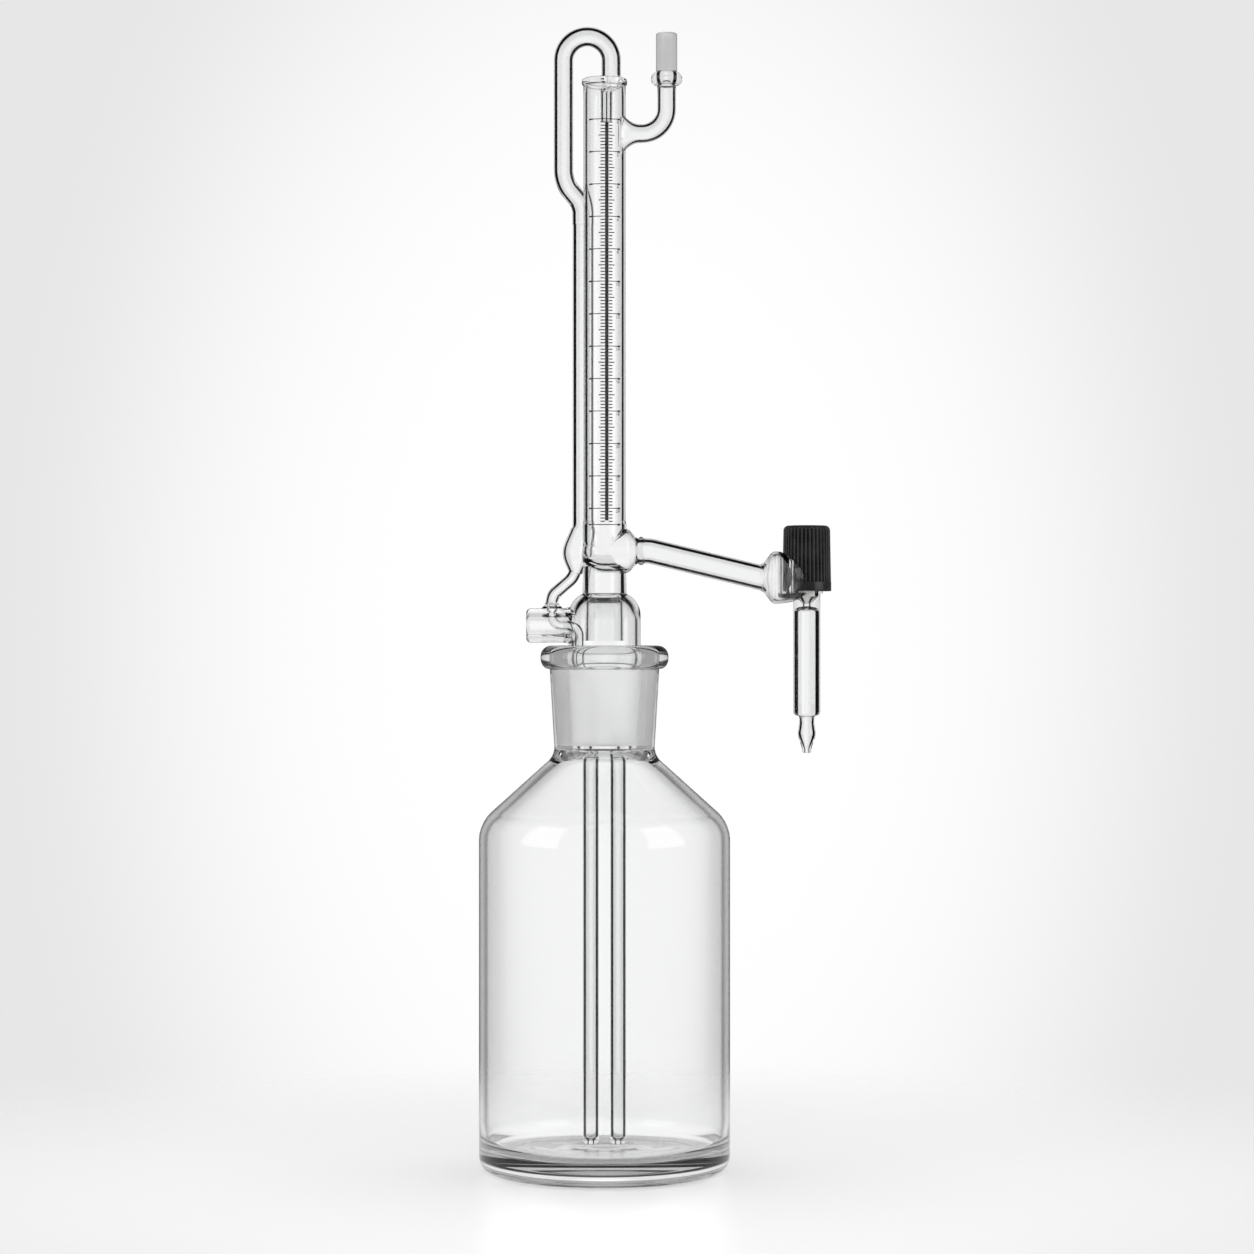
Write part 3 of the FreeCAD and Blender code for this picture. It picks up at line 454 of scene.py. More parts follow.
class Graph:
    """A short way to place and join the nodes of a material, a world or a group."""

    def __init__(self, tree: bpy.types.NodeTree) -> None:
        """Start on an empty tree."""
        self.tree = tree
        tree.nodes.clear()

    def node(self, kind: str, inputs: dict | None = None, **settings: object) -> bpy.types.Node:
        """Place a node.

        Args:
            kind: The node's type.
            inputs: Values or sockets for its inputs, by name or number.
            **settings: Its properties.

        Returns:
            The node.
        """
        made = self.tree.nodes.new(kind)
        for key, value in settings.items():
            setattr(made, key, value)
        return self.feed(made, inputs or {})

    def feed(self, node: bpy.types.Node, inputs: dict) -> bpy.types.Node:
        """Set a node's inputs to values or join them to sockets.

        Args:
            node: The node.
            inputs: Values or sockets, by the input's name or number.

        Returns:
            The same node.
        """
        for key, value in inputs.items():
            if isinstance(value, bpy.types.NodeSocket):
                self.tree.links.new(value, node.inputs[key])
            else:
                node.inputs[key].default_value = value
        return node

    def math(self, operation: str, *values: object, clamp: bool = False) -> bpy.types.NodeSocket:
        """Place a Math node and give its result."""
        inputs = dict(enumerate(values))
        return self.node("ShaderNodeMath", inputs, operation=operation, use_clamp=clamp).outputs[0]

    def ramp(
        self, value: bpy.types.NodeSocket, low: float, high: float, start: float, end: float
    ) -> bpy.types.NodeSocket:
        """Map a value smoothly from one range to another."""
        inputs = {"Value": value, "From Min": low, "From Max": high, "To Min": start, "To Max": end}
        return self.node("ShaderNodeMapRange", inputs, interpolation_type="SMOOTHSTEP").outputs["Result"]

    def blend(self, share: object, first: object, second: object) -> bpy.types.NodeSocket:
        """Mix two colours by a share."""
        inputs = {0: share, 6: first, 7: second}
        return self.node("ShaderNodeMix", inputs, data_type="RGBA", clamp_factor=True).outputs[2]


class Effect:
    """A shader group that several finishes share."""

    def __init__(self, name: str, inputs: dict[str, float], outputs: Sequence[str]) -> None:
        """Make an empty group with its sockets.

        Args:
            name: Name of the group.
            inputs: Number inputs and their defaults.
            outputs: Number outputs.
        """
        self.tree = bpy.data.node_groups.new(name, "ShaderNodeTree")
        for label, value in inputs.items():
            socket = self.tree.interface.new_socket(label, in_out="INPUT", socket_type="NodeSocketFloat")
            socket.default_value = value
        for label in outputs:
            self.tree.interface.new_socket(label, in_out="OUTPUT", socket_type="NodeSocketFloat")
        self.graph = Graph(self.tree)
        self.given = self.graph.node("NodeGroupInput").outputs
        self.result = self.graph.node("NodeGroupOutput")

    def put(self, label: str, value: bpy.types.NodeSocket) -> None:
        """Join a value to an output."""
        self.tree.links.new(value, self.result.inputs[label])

    def place(self, graph: Graph, **values: object) -> bpy.types.Node:
        """Place the group in a material with its own values."""
        inputs = {key.replace("_", " ").capitalize(): value for key, value in values.items()}
        return graph.node("ShaderNodeGroup", inputs, node_tree=self.tree)


def blown_ripple() -> Effect:
    """Slow waves and fine draw lines in the surface of worked glass."""
    effect = Effect("blown_ripple", {"Wave size": 60.0, "Line size": 400.0, "Line share": 0.3}, ["Height"])
    graph = effect.graph
    where = graph.node("ShaderNodeTexCoord").outputs["Object"]
    waves = graph.node("ShaderNodeTexNoise", {"Vector": where, "Scale": effect.given["Wave size"], "Detail": 1.0})
    squeezed = graph.node("ShaderNodeMapping", {"Vector": where, "Scale": (1.0, 1.0, 0.12)}).outputs[0]
    lines = graph.node("ShaderNodeTexNoise", {"Vector": squeezed, "Scale": effect.given["Line size"], "Detail": 0.0})
    share = graph.math("MULTIPLY", lines.outputs[0], effect.given["Line share"])
    effect.put("Height", graph.math("ADD", waves.outputs[0], share))
    return effect


def fine_grain() -> Effect:
    """Grains of two sizes, with a slow change across the surface."""
    effect = Effect("fine_grain", {"Grain size": 4000.0, "Patch size": 90.0}, ["Height", "Patch"])
    graph = effect.graph
    where = graph.node("ShaderNodeTexCoord").outputs["Object"]
    grains = graph.node("ShaderNodeTexNoise", {"Vector": where, "Scale": effect.given["Grain size"], "Detail": 2.0})
    patches = graph.node("ShaderNodeTexNoise", {"Vector": where, "Scale": effect.given["Patch size"], "Detail": 3.0})
    effect.put("Height", grains.outputs[0])
    effect.put("Patch", patches.outputs[0])
    return effect


@dataclass(frozen=True)
class Effects:
    """The shared effects, each built once."""

    ripple: Effect = field(default_factory=blown_ripple)
    grain: Effect = field(default_factory=fine_grain)


def new_material(name: str) -> tuple[bpy.types.Material, Graph, bpy.types.Node]:
    """Make a material with a Principled shader on its output.

    Returns:
        The material, its graph and the shader.
    """
    material = bpy.data.materials.new(name)
    material.use_nodes = True
    graph = Graph(material.node_tree)
    shader = graph.node("ShaderNodeBsdfPrincipled")
    graph.node("ShaderNodeOutputMaterial", {"Surface": shader.outputs[0]})
    return material, graph, shader


def let_light_by(graph: Graph, shader: bpy.types.Node, shade: float) -> None:
    """Thin the shadow of glass, because light goes through it.

    Args:
        graph: The material's graph.
        shader: Its shader.
        shade: How much of a shadow each wall still casts.
    """
    ray = graph.node("ShaderNodeLightPath").outputs["Is Shadow Ray"]
    graph.feed(shader, {"Alpha": graph.math("MULTIPLY_ADD", ray, shade - 1.0, 1.0)})


def uneven(graph: Graph, patch: bpy.types.NodeSocket, middle: float, spread: float) -> bpy.types.NodeSocket:
    """A value that strays from its middle with the patches of a surface."""
    return graph.ramp(patch, *PATCH_RANGE, middle - spread, middle + spread)


def show_relief(
    graph: Graph, shader: bpy.types.Node, height: bpy.types.NodeSocket, strength: float, distance: float
) -> None:
    """Let a height show in the shader's normal."""
    bump = graph.node("ShaderNodeBump", {"Strength": strength, "Distance": distance, "Height": height})
    graph.feed(shader, {"Normal": bump.outputs[0]})


@dataclass(frozen=True)
class ClearGlass:
    """Clear borosilicate glass. Painted shade darkens its walls where they are seen edge on, and a painted dark line
    lies on light reflected inside a wall.
    """

    name: str
    body_tint: Tint = (0.995, 0.998, 0.997, 1.0)
    edge_tint: Tint = (0.0, 0.0, 0.0, 1.0)
    edge_start: float = 0.87
    edge_full: float = 0.99
    line_start: float = 0.2
    line_end: float = 0.25
    line_depth: float = 1.0
    ior: float = GLASS_IOR
    ripple: float = 0.004

    def build(self, effects: Effects) -> bpy.types.Material:
        """Make the material."""
        material, graph, shader = new_material(self.name)
        facing = graph.node("ShaderNodeLayerWeight", {"Blend": 0.5}).outputs["Facing"]
        # Painted shade: the base colour goes dark where a wall is seen edge on.
        edge = graph.ramp(facing, self.edge_start, self.edge_full, 0.0, 1.0)
        leaving = graph.node("ShaderNodeNewGeometry").outputs["Backfacing"]
        bounced = graph.node("ShaderNodeLightPath").outputs["Is Reflection Ray"]
        # Painted shade: a dark line on rays reflected inside a wall, over a narrow band of facing angles.
        line = graph.ramp(facing, self.line_start, self.line_end, self.line_depth, 0.0)
        line = graph.math("MULTIPLY", line, graph.math("MULTIPLY", leaving, bounced))
        tint = graph.blend(graph.math("MAXIMUM", edge, line), self.body_tint, self.edge_tint)
        graph.feed(shader, {"Base Color": tint, "Transmission Weight": 1.0, "Roughness": 0.0, "IOR": self.ior})
        height = effects.ripple.place(graph, wave_size=70.0, line_size=500.0, line_share=0.25).outputs["Height"]
        show_relief(graph, shader, height, strength=self.ripple, distance=0.001)
        let_light_by(graph, shader, shade=0.06)
        return material


@dataclass(frozen=True)
class GroundGlass:
    """Glass ground with fine grit to a milky surface, whose rim can be darkened by painted shade where it is seen edge
    on.
    """

    name: str
    pale: Tint = (1.0, 1.0, 1.0, 1.0)
    dull: Tint = (0.96, 0.96, 0.965, 1.0)
    transmission: float = 0.75
    roughness: float = 0.5
    rim_tint: Tint = (0.1, 0.1, 0.1, 1.0)
    rim_depth: float = 0.0
    rim_start: float = 0.45
    rim_full: float = 0.85

    def build(self, effects: Effects) -> bpy.types.Material:
        """Make the material."""
        material, graph, shader = new_material(self.name)
        grain = effects.grain.place(graph, grain_size=5000.0, patch_size=120.0)
        facing = graph.node("ShaderNodeLayerWeight", {"Blend": 0.5}).outputs["Facing"]
        # Painted shade: the surface darkens where it is seen edge on.
        rim = graph.ramp(facing, self.rim_start, self.rim_full, 0.0, self.rim_depth)
        ground = graph.blend(grain.outputs["Patch"], self.pale, self.dull)
        tint = graph.blend(rim, ground, self.rim_tint)
        rough = uneven(graph, grain.outputs["Patch"], self.roughness, spread=0.05)
        plain = {"Transmission Weight": self.transmission, "IOR": GLASS_IOR}
        graph.feed(shader, {"Base Color": tint, "Roughness": rough, **plain})
        show_relief(graph, shader, grain.outputs["Height"], strength=0.15, distance=0.0001)
        let_light_by(graph, shader, shade=0.3)
        return material


@dataclass(frozen=True)
class SolidFinish:
    """An opaque finish with grain in its surface and small changes of gloss and tone.

    Args:
        name: Name of the material.
        colour: Its main colour.
        worn: Its colour where it is paler.
        roughness: Middle of its roughness.
        metallic: One for metal.
        grain: Scale of the surface grain.
        depth: Strength of the grain.
    """

    name: str
    colour: Tint
    worn: Tint
    roughness: float
    metallic: float = 0.0
    grain: float = 3000.0
    depth: float = 0.1

    def build(self, effects: Effects) -> bpy.types.Material:
        """Make the material."""
        material, graph, shader = new_material(self.name)
        grain = effects.grain.place(graph, grain_size=self.grain, patch_size=160.0)
        patch = graph.ramp(grain.outputs["Patch"], 0.35, 0.75, 0.0, 1.0)
        tint = graph.blend(patch, self.colour, self.worn)
        rough = uneven(graph, grain.outputs["Patch"], self.roughness, spread=0.06)
        graph.feed(shader, {"Base Color": tint, "Roughness": rough, "Metallic": self.metallic})
        show_relief(graph, shader, grain.outputs["Height"], strength=self.depth, distance=0.0002)
        return material


class Finishes:
    """Every finish of the burette, made once."""

    def __init__(self) -> None:
        """Make the materials."""
        effects = Effects()
        # The bottle's painted edge shade starts further from the edge, and its painted inner line is weaker.
        self.bottle_glass = ClearGlass(
            "bottle_glass",
            body_tint=(0.992, 0.995, 0.994, 1.0),
            edge_start=0.74,
            edge_full=0.97,
            line_start=0.235,
            line_end=0.262,
            line_depth=0.8,
        ).build(effects)
        self.burette_glass = ClearGlass("burette_glass").build(effects)
        # Port glass is clear glass with a weaker painted inner line.
        self.port_glass = ClearGlass("port_glass", line_depth=0.35).build(effects)
        self.ground_glass = GroundGlass("ground_glass").build(effects)
        # The seal's painted edge shade is light grey, and its painted inner line is weak.
        self.seal_glass = ClearGlass("seal_glass", edge_tint=(0.8, 0.81, 0.81, 1.0), line_depth=0.3).build(effects)
        # The guard joint's ground glass has painted shade darkening it where it is seen edge on.
        self.guard_glass = GroundGlass(
            "guard_glass", (0.6, 0.6, 0.6, 1.0), (0.5, 0.5, 0.505, 1.0), rim_depth=0.9
        ).build(effects)
        self.enamel = SolidFinish("stripe_enamel", (0.012, 0.012, 0.014, 1), (0.03, 0.03, 0.03, 1), 0.45).build(effects)
        self.knob = SolidFinish("knob_plastic", (0.008, 0.008, 0.009, 1), (0.02, 0.02, 0.021, 1), 0.28).build(effects)
        self.needle = SolidFinish("needle_plastic", (0.82, 0.82, 0.8, 1), (0.72, 0.72, 0.7, 1), 0.5).build(effects)
        self.rubber = SolidFinish("seal_rubber", (0.02, 0.02, 0.02, 1), (0.05, 0.05, 0.05, 1), 0.7).build(effects)
        self.steel = SolidFinish("spring_steel", (0.62, 0.62, 0.62, 1), (0.5, 0.5, 0.5, 1), 0.3, 1.0).build(effects)


@dataclass
class ReservoirBottle:
    """Heavy-based bottle with a sloping shoulder, a ground neck and a thick rounded flange."""

    radius: float = 50.5
    inner_radius: float = 47.6
    base: float = 9.5
    base_round: float = 6.5
    punt_radius: float = 36.0
    punt_depth: float = 2.2
    punt_round: float = 290.0
    shoulder: Corner = Corner(50.5, 140.03, 14.0)
    inner_shoulder: Corner = Corner(47.6, 138.81, 11.1)
    neck_foot: Corner = Corner(20.0, 167.49, 7.0)
    throat: Corner = Corner(13.0, 169.36, 3.0)
    neck_top_radius: float = 22.0
    flange_radius: float = 25.75
    flange_foot: float = 202.2
    flange_round: float = 4.28
    mouth: float = 211.5
    mouth_radius: float = 15.1
    joint_top: tuple[float, float] = (14.6, 203.5)
    joint_foot: tuple[float, float] = (13.0, 171.5)
    moulding_round: float = 6.0
    moulding: tuple[tuple[float, float], ...] = ((38.0, -0.5), (31.0, 0.45), (23.0, -0.45), (14.0, 0.4), (6.0, -0.2))

    def outline(self) -> list[Corner]:
        """The outline from the hollow underneath round the outside and the inside to the floor's centre."""
        return [
            Corner(self.punt_radius / 2, self.punt_depth, self.punt_round),
            Corner(self.punt_radius, 0.0),
            Corner(self.radius, 0.0, self.base_round),
            self.shoulder,
            self.neck_foot,
            Corner(self.neck_top_radius, self.flange_foot, 0.6),
            Corner(self.flange_radius, self.flange_foot, self.flange_round),
            Corner(self.flange_radius, self.mouth, self.flange_round),
            Corner(self.mouth_radius, self.mouth, 1.5),
            Corner(self.mouth_radius, self.joint_top[1]),
            Corner(*self.joint_top),
            Corner(*self.joint_foot),
            self.throat,
            self.inner_shoulder,
            Corner(self.inner_radius, self.base, self.base_round),
            *(Corner(reach, self.base + swell, self.moulding_round) for reach, swell in self.moulding),
            Corner(0.0, self.base),
        ]

    def surface(self, centre: Vector, normal: Vector) -> int:
        """Number of the finish: one for the ground inside of the neck, else nought."""
        reach = math.hypot(centre.x, centre.y)
        ground = self.joint_foot[1] < centre.z < self.joint_top[1] and reach < self.mouth_radius
        return int(ground)

    def build(self, finishes: Finishes) -> bpy.types.Object:
        """Make the bottle."""
        bottle = finished(
            turned(self.outline(), steps=160, longest_run=6.0),
            "reservoir_bottle_glass",
            Body.BOTTLE,
            [finishes.bottle_glass, finishes.ground_glass],
            choose=self.surface,
        )
        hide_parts("reservoir_bottle")
        return bottle


@dataclass
class GlassForms:
    """Forms of one part of the burette head, by the stage at which they are worked in."""

    outsides: list[Form] = field(default_factory=list)
    hollows: list[Form] = field(default_factory=list)
    inner_walls: list[Form] = field(default_factory=list)
    bores: list[Form] = field(default_factory=list)


@dataclass
class JunctionChamber:
    """Chamber that joins the measuring tube to the delivery arm."""

    z: float = 249.6
    radius: float = 9.0
    wall: float = 1.6
    shoulder_x: float = 9.4
    neck_x: float = 13.0
    end_x: float = 14.7
    arm_radius: float = 5.05
    arm_bore: float = 3.5
    end_step: float = 0.03

    def form(self, shrink: float = 0.0) -> bmesh.types.BMesh:
        """The filled form, drawn in from its outside by an amount."""
        radius = self.radius - shrink
        end_radius = (self.arm_bore if shrink else self.arm_radius) - self.end_step
        corners = [
            Corner(radius, -radius, radius - 0.01),
            Corner(radius, self.shoulder_x, 3.2),
            Corner(end_radius, self.neck_x, 2.2),
            Corner(end_radius, self.end_x + 0.5),
        ]
        return turned(corners, steps=80, along=Along.X, place=Vector((0.0, 0.0, self.z)), longest_run=2.0)

    def forms(self) -> GlassForms:
        """The chamber's forms."""
        return GlassForms(outsides=[self.form()], hollows=[self.form(self.wall)])


@dataclass
class BuretteFoot:
    """Ground cone, bell, stem, hose port and the tubes that reach down into the bottle."""

    chamber: JunctionChamber
    joint_top: tuple[float, float] = (14.57, 203.5)
    joint_foot: tuple[float, float] = (12.97, 171.5)
    floor: float = 2.0
    wall: float = 2.0
    bell_radius: float = 14.5
    bell_shoulder: float = 230.09
    bell_top: float = 232.3
    bell_round: float = 8.85
    collar_radius: float = 8.85
    stem_radius: float = 8.0
    stem_bore: float = 6.6
    stem_foot: float = 213.5
    dip_radius: float = 3.25
    dip_bore: float = 2.0
    dip_tip_bore: float = 0.9
    dip_x: float = 5.5
    dip_foot: float = 10.6
    port_z: float = 219.6
    port_radius: float = 7.0
    port_bore: float = 3.5
    port_mouth: float = -31.5
    port_waist: float = -16.5
    port_end: float = -15.5
    port_link_x: float = -21.1
    inner_x: float = -10.3
    inner_radius: float = 2.0
    inner_bore: float = 1.2
    inner_knee: float = 204.0
    inner_set_over: float = 192.0
    inner_bends: tuple[float, ...] = (4.0, 4.0, 10.0, 10.0)

    def cone(self) -> bmesh.types.BMesh:
        """The ground cone's outside."""
        foot_radius, foot = self.joint_foot
        top_radius, top = self.joint_top
        corners = [Corner(foot_radius, foot - self.floor, 1.0), Corner(foot_radius, foot), Corner(top_radius, top)]
        return turned(corners, steps=96)

    def bell(self) -> bmesh.types.BMesh:
        """The bell's outside with the stem's collar above it."""
        top = self.joint_top[1]
        corners = [
            Corner(self.bell_radius, top - 0.5),
            Corner(self.bell_radius, self.bell_shoulder, self.bell_round),
            Corner(self.collar_radius, self.bell_top, 1.2),
            Corner(self.collar_radius - 0.25, self.chamber.z - 7.0, 1.0),
            Corner(self.collar_radius + 0.3, self.chamber.z),
        ]
        return turned(corners, steps=96, longest_run=2.5)

    def cave(self) -> bmesh.types.BMesh:
        """The hollow of cone and bell."""
        foot_radius, foot = self.joint_foot
        corners = [
            Corner(foot_radius - self.wall, foot, 2.0),
            Corner(self.bell_radius - self.wall, self.joint_top[1]),
            Corner(self.bell_radius - self.wall, self.bell_shoulder - self.wall, self.bell_round),
            Corner(self.collar_radius - self.wall, self.bell_top - self.wall),
        ]
        return turned(corners, steps=96, longest_run=2.5)

    def dip_tube(self, x: float, top: float, bore_top: float) -> tuple[bmesh.types.BMesh, bmesh.types.BMesh]:
        """Outside and bore of a dip tube, with its end drawn in to a small hole."""
        foot = self.dip_foot
        place = Vector((x, 0.0, 0.0))
        outside = [Corner(self.dip_radius, foot, 1.3), Corner(self.dip_radius, top, 0.4)]
        bore = [
            Corner(self.dip_tip_bore, foot - 1),
            Corner(self.dip_tip_bore, foot + 1.75),
            Corner(self.dip_bore, foot + 3.5, 0.8),
            Corner(self.dip_bore, bore_top),
        ]
        wall, way = (turned(corners, steps=48, place=place, longest_run=8.0) for corners in (outside, bore))
        return wall, way

    def port(self) -> bmesh.types.BMesh:
        """The hose port's outside."""
        corners = [
            Corner(self.port_radius, self.port_mouth, 2.0),
            Corner(self.port_radius - 0.15, self.port_waist, 3.0),
            Corner(self.port_radius + 1.2, self.inner_x),
        ]
        return turned(corners, steps=72, along=Along.X, place=Vector((0, 0, self.port_z)), longest_run=1.5)

    def port_way(self) -> bmesh.types.BMesh:
        """The hose port's bore, with its mouth rounded open."""
        corners = [
            Corner(self.port_radius + 1, self.port_mouth - 2),
            Corner(self.port_radius + 1, self.port_mouth + 0.05),
            Corner(self.port_bore, self.port_mouth + 0.05, 1.2),
            Corner(self.port_bore, self.inner_x),
        ]
        return turned(corners, steps=64, along=Along.X, place=Vector((0, 0, self.port_z)), longest_run=2.0)

    def inner_tube(self, radius: float, top: float, foot: float) -> bmesh.types.BMesh:
        """A rod along the route of the thin tube inside port and bell."""
        points = [
            (self.port_link_x, 0.0, top),
            (self.port_link_x, 0.0, self.port_z),
            (self.inner_x, 0.0, self.port_z),
            (self.inner_x, 0.0, self.inner_knee),
            (-self.dip_x, 0.0, self.inner_set_over),
            (-self.dip_x, 0.0, foot),
        ]
        return drawn(points, self.inner_bends, radius, sides=32)

    def forms(self) -> GlassForms:
        """The foot's forms."""
        foot = self.joint_foot[1]
        filling = self.dip_tube(-self.dip_x, foot + 1.0, foot + 0.4)
        air = self.dip_tube(self.dip_x, foot + 5.0, foot + 6.0)
        stem = post(self.stem_radius, self.stem_foot, self.bell_top - 1.0, steps=96)
        stem_way = post(self.stem_bore, self.stem_foot - 1.0, self.chamber.z, steps=96)
        stem_way = worked(stem_way, [self.chamber.form()], Work.HOLLOW)
        inner_top = self.port_z + self.port_radius
        inner = self.inner_tube(self.inner_radius, inner_top - 0.5, foot + 0.8)
        return GlassForms(
            outsides=[self.cone(), self.bell(), self.port()],
            hollows=[self.cave(), self.port_way()],
            inner_walls=[stem, filling[0], air[0], inner],
            bores=[stem_way, filling[1], air[1], self.inner_tube(self.inner_bore, inner_top, foot - 0.5)],
        )


@dataclass
class Riser:
    """Link tube, bulb, riser and the overflow loop that brings liquid over into the measuring tube."""

    chamber: JunctionChamber
    bulb_x: float = -11.6
    bulb_y: float = 8.3
    bulb_radius: float = 5.4
    bulb_foot: float = 240.4
    bulb_waist: float = 249.0
    bulb_top: float = 259.6
    bulb_wall: float = 1.2
    bulb_slimness: float = 1.3
    link_x: float = -21.1
    link_radius: float = 2.5
    link_bore: float = 1.5
    link_top: float = 244.0
    link_knee: float = 240.0
    link_set_over: float = 231.5
    link_foot: float = 224.0
    link_bends: tuple[float, ...] = (8.0, 5.0)
    flare_rings: tuple[tuple[float, float], ...] = (
        (230.0, -0.1),
        (229.0, 0.1),
        (228.2, 0.35),
        (227.5, 0.8),
        (226.9, 1.4),
        (226.4, 2.0),
        (224.5, 2.0),
    )
    riser_radius: float = 3.75
    riser_bore: float = 2.3
    riser_x: float = -9.2
    riser_y: float = 8.6
    loop_radius: float = 3.9
    loop_bore: float = 2.5
    loop_bend: float = 9.6
    leg_x: float = 2.7
    leg_foot: float = 436.3
    leg_top: float = 441.0
    crown: float = 456.6
    loop_knee: float = 398.0
    loop_set_over: float = 390.0
    loop_foot: float = 382.0
    foot_bends: tuple[float, ...] = (10.0, 8.0)
    tip_x: float = 0.8
    tip_radius: float = 2.4
    tip_bore: float = 1.4
    tip_end: float = 422.4
    tip_shoulder: float = 2.2

    def bulb(self, shrink: float = 0.0) -> bmesh.types.BMesh:
        """The bulb's filled form, drawn in from its outside by an amount and led over to the riser."""
        rings = []
        steps = 12
        for step in range(steps + 1):
            share = step / steps
            swell = math.sin(math.pi / 2 * share) ** self.bulb_slimness
            z = self.bulb_foot + share * (self.bulb_waist - self.bulb_foot)
            radius = self.link_radius + swell * (self.bulb_radius - self.link_radius)
            rings.append((self.bulb_x, self.bulb_y, z, radius - shrink))
        for step in range(1, steps + 1):
            share = step / steps
            shift = eased(share)
            z = self.bulb_waist + share * (self.bulb_top - self.bulb_waist)
            radius = self.riser_radius + math.sqrt(1 - share * share) * (self.bulb_radius - self.riser_radius)
            x = self.bulb_x + shift * (self.riser_x - self.bulb_x)
            y = self.bulb_y + shift * (self.riser_y - self.bulb_y)
            rings.append((x, y, z, radius - shrink))
        rings.append((self.riser_x, self.riser_y, self.bulb_top + 0.6, self.riser_radius - shrink))
        return stacked(rings, sides=56)

    def link(self, radius: float, foot: float) -> bmesh.types.BMesh:
        """A rod along the link tube's route."""
        points = [
            (self.bulb_x, self.bulb_y, self.link_top),
            (self.bulb_x, self.bulb_y, self.link_knee),
            (self.link_x, 0.0, self.link_set_over),
            (self.link_x, 0.0, foot),
        ]
        return drawn(points, self.link_bends, radius, sides=36, longest_run=1.5)

    def flare(self) -> bmesh.types.BMesh:
        """The link tube's foot, spread where it is melted on the hose port."""
        return stacked([(self.link_x, 0.0, z, self.link_radius + spread) for z, spread in self.flare_rings], sides=48)

    def riser(self, radius: float) -> bmesh.types.BMesh:
        """A straight rod in the riser's place."""
        points = [
            (self.riser_x, self.riser_y, self.loop_foot + 1.0),
            (self.riser_x, self.riser_y, self.bulb_top - 0.4),
        ]
        return drawn(points, [], radius, sides=48, longest_run=6.0)

    def loop(self, radius: float) -> bmesh.types.BMesh:
        """A rod along the overflow loop's route."""
        far_x = self.leg_x - 2 * self.loop_bend
        points = [
            (self.leg_x, 0.0, self.leg_foot),
            (self.leg_x, 0.0, self.crown),
            (far_x, 0.0, self.crown),
            (far_x, 0.0, self.loop_knee),
            (self.riser_x, self.riser_y, self.loop_set_over),
            (self.riser_x, self.riser_y, self.loop_foot),
        ]
        return drawn(points, [self.loop_bend, self.loop_bend, *self.foot_bends], radius, sides=48, longest_run=4.0)

    def tip(self, leg_radius: float, radius: float, past: float) -> bmesh.types.BMesh:
        """The zero tip's filled form, set over from the loop's leg to its own straight run.

        Args:
            leg_radius: Its radius where it meets the leg.
            radius: Radius of the straight run.
            past: How far it runs on past both ends.

        Returns:
            The form in millimetres.
        """
        rings = [(self.leg_x, 0.0, self.leg_foot + 0.6 + past, leg_radius)]
        steps = 8
        for step in range(steps + 1):
            share = step / steps
            over = eased(share)
            x = self.leg_x + over * (self.tip_x - self.leg_x)
            z = self.leg_foot - share * self.tip_shoulder
            rings.append((x, 0.0, z, leg_radius + over * (radius - leg_radius)))
        rings.append((self.tip_x, 0.0, self.tip_end - past, radius))
        return stacked(rings, sides=48)

    def forms(self) -> GlassForms:
        """The riser's forms."""
        tip = self.tip(self.loop_radius, self.tip_radius, 0.0)
        tip_way = self.tip(self.loop_bore - 0.05, self.tip_bore, 1.0)
        bulb_hollow = worked(self.bulb(self.bulb_wall), [self.chamber.form()], Work.HOLLOW)
        leg = post(self.loop_radius, self.leg_foot, self.leg_top, self.leg_x, steps=48)
        return GlassForms(
            outsides=[
                self.bulb(),
                self.link(self.link_radius, self.link_foot),
                self.flare(),
                self.riser(self.riser_radius),
                self.loop(self.loop_radius),
            ],
            inner_walls=[tip, leg],
            bores=[
                tip_way,
                bulb_hollow,
                self.link(self.link_bore, self.link_foot + 1.5),
                self.riser(self.riser_bore),
                self.loop(self.loop_bore),
            ],
        )


@dataclass
class MeasuringTube:
    """Measuring tube with its closed, beaded top."""

    chamber: JunctionChamber
    radius: float = 8.5
    bore: float = 7.0
    top: float = 437.2
    bead_radius: float = 9.1
    rim_radius: float = 7.7

    def outside(self) -> bmesh.types.BMesh:
        """The tube's outside with its bead and the weld on the chamber."""
        weld = self.chamber.z + self.chamber.radius
        corners = [
            Corner(self.radius + 0.3, self.chamber.z),
            Corner(self.radius + 0.3, weld + 1.4, 0.8),
            Corner(self.radius, weld + 3.0, 2.0),
            Corner(self.radius, self.top - 0.6, 0.6),
            Corner(self.bead_radius, self.top + 0.1, 0.6),
            Corner(self.bead_radius, self.top + 2.1, 0.7),
            Corner(self.rim_radius, self.top + 2.7, 0.6),
            Corner(self.rim_radius - 0.8, self.top + 2.0, 0.5),
        ]
        return turned(corners, steps=96, longest_run=4.0)

    def way(self) -> bmesh.types.BMesh:
        """The tube's bore."""
        corners = [Corner(self.bore, self.chamber.z), Corner(self.bore, self.top + 0.5, 1.0)]
        return turned(corners, steps=96, longest_run=4.0)

    def forms(self) -> GlassForms:
        """The tube's forms."""
        return GlassForms(outsides=[self.outside()], hollows=[self.way()])


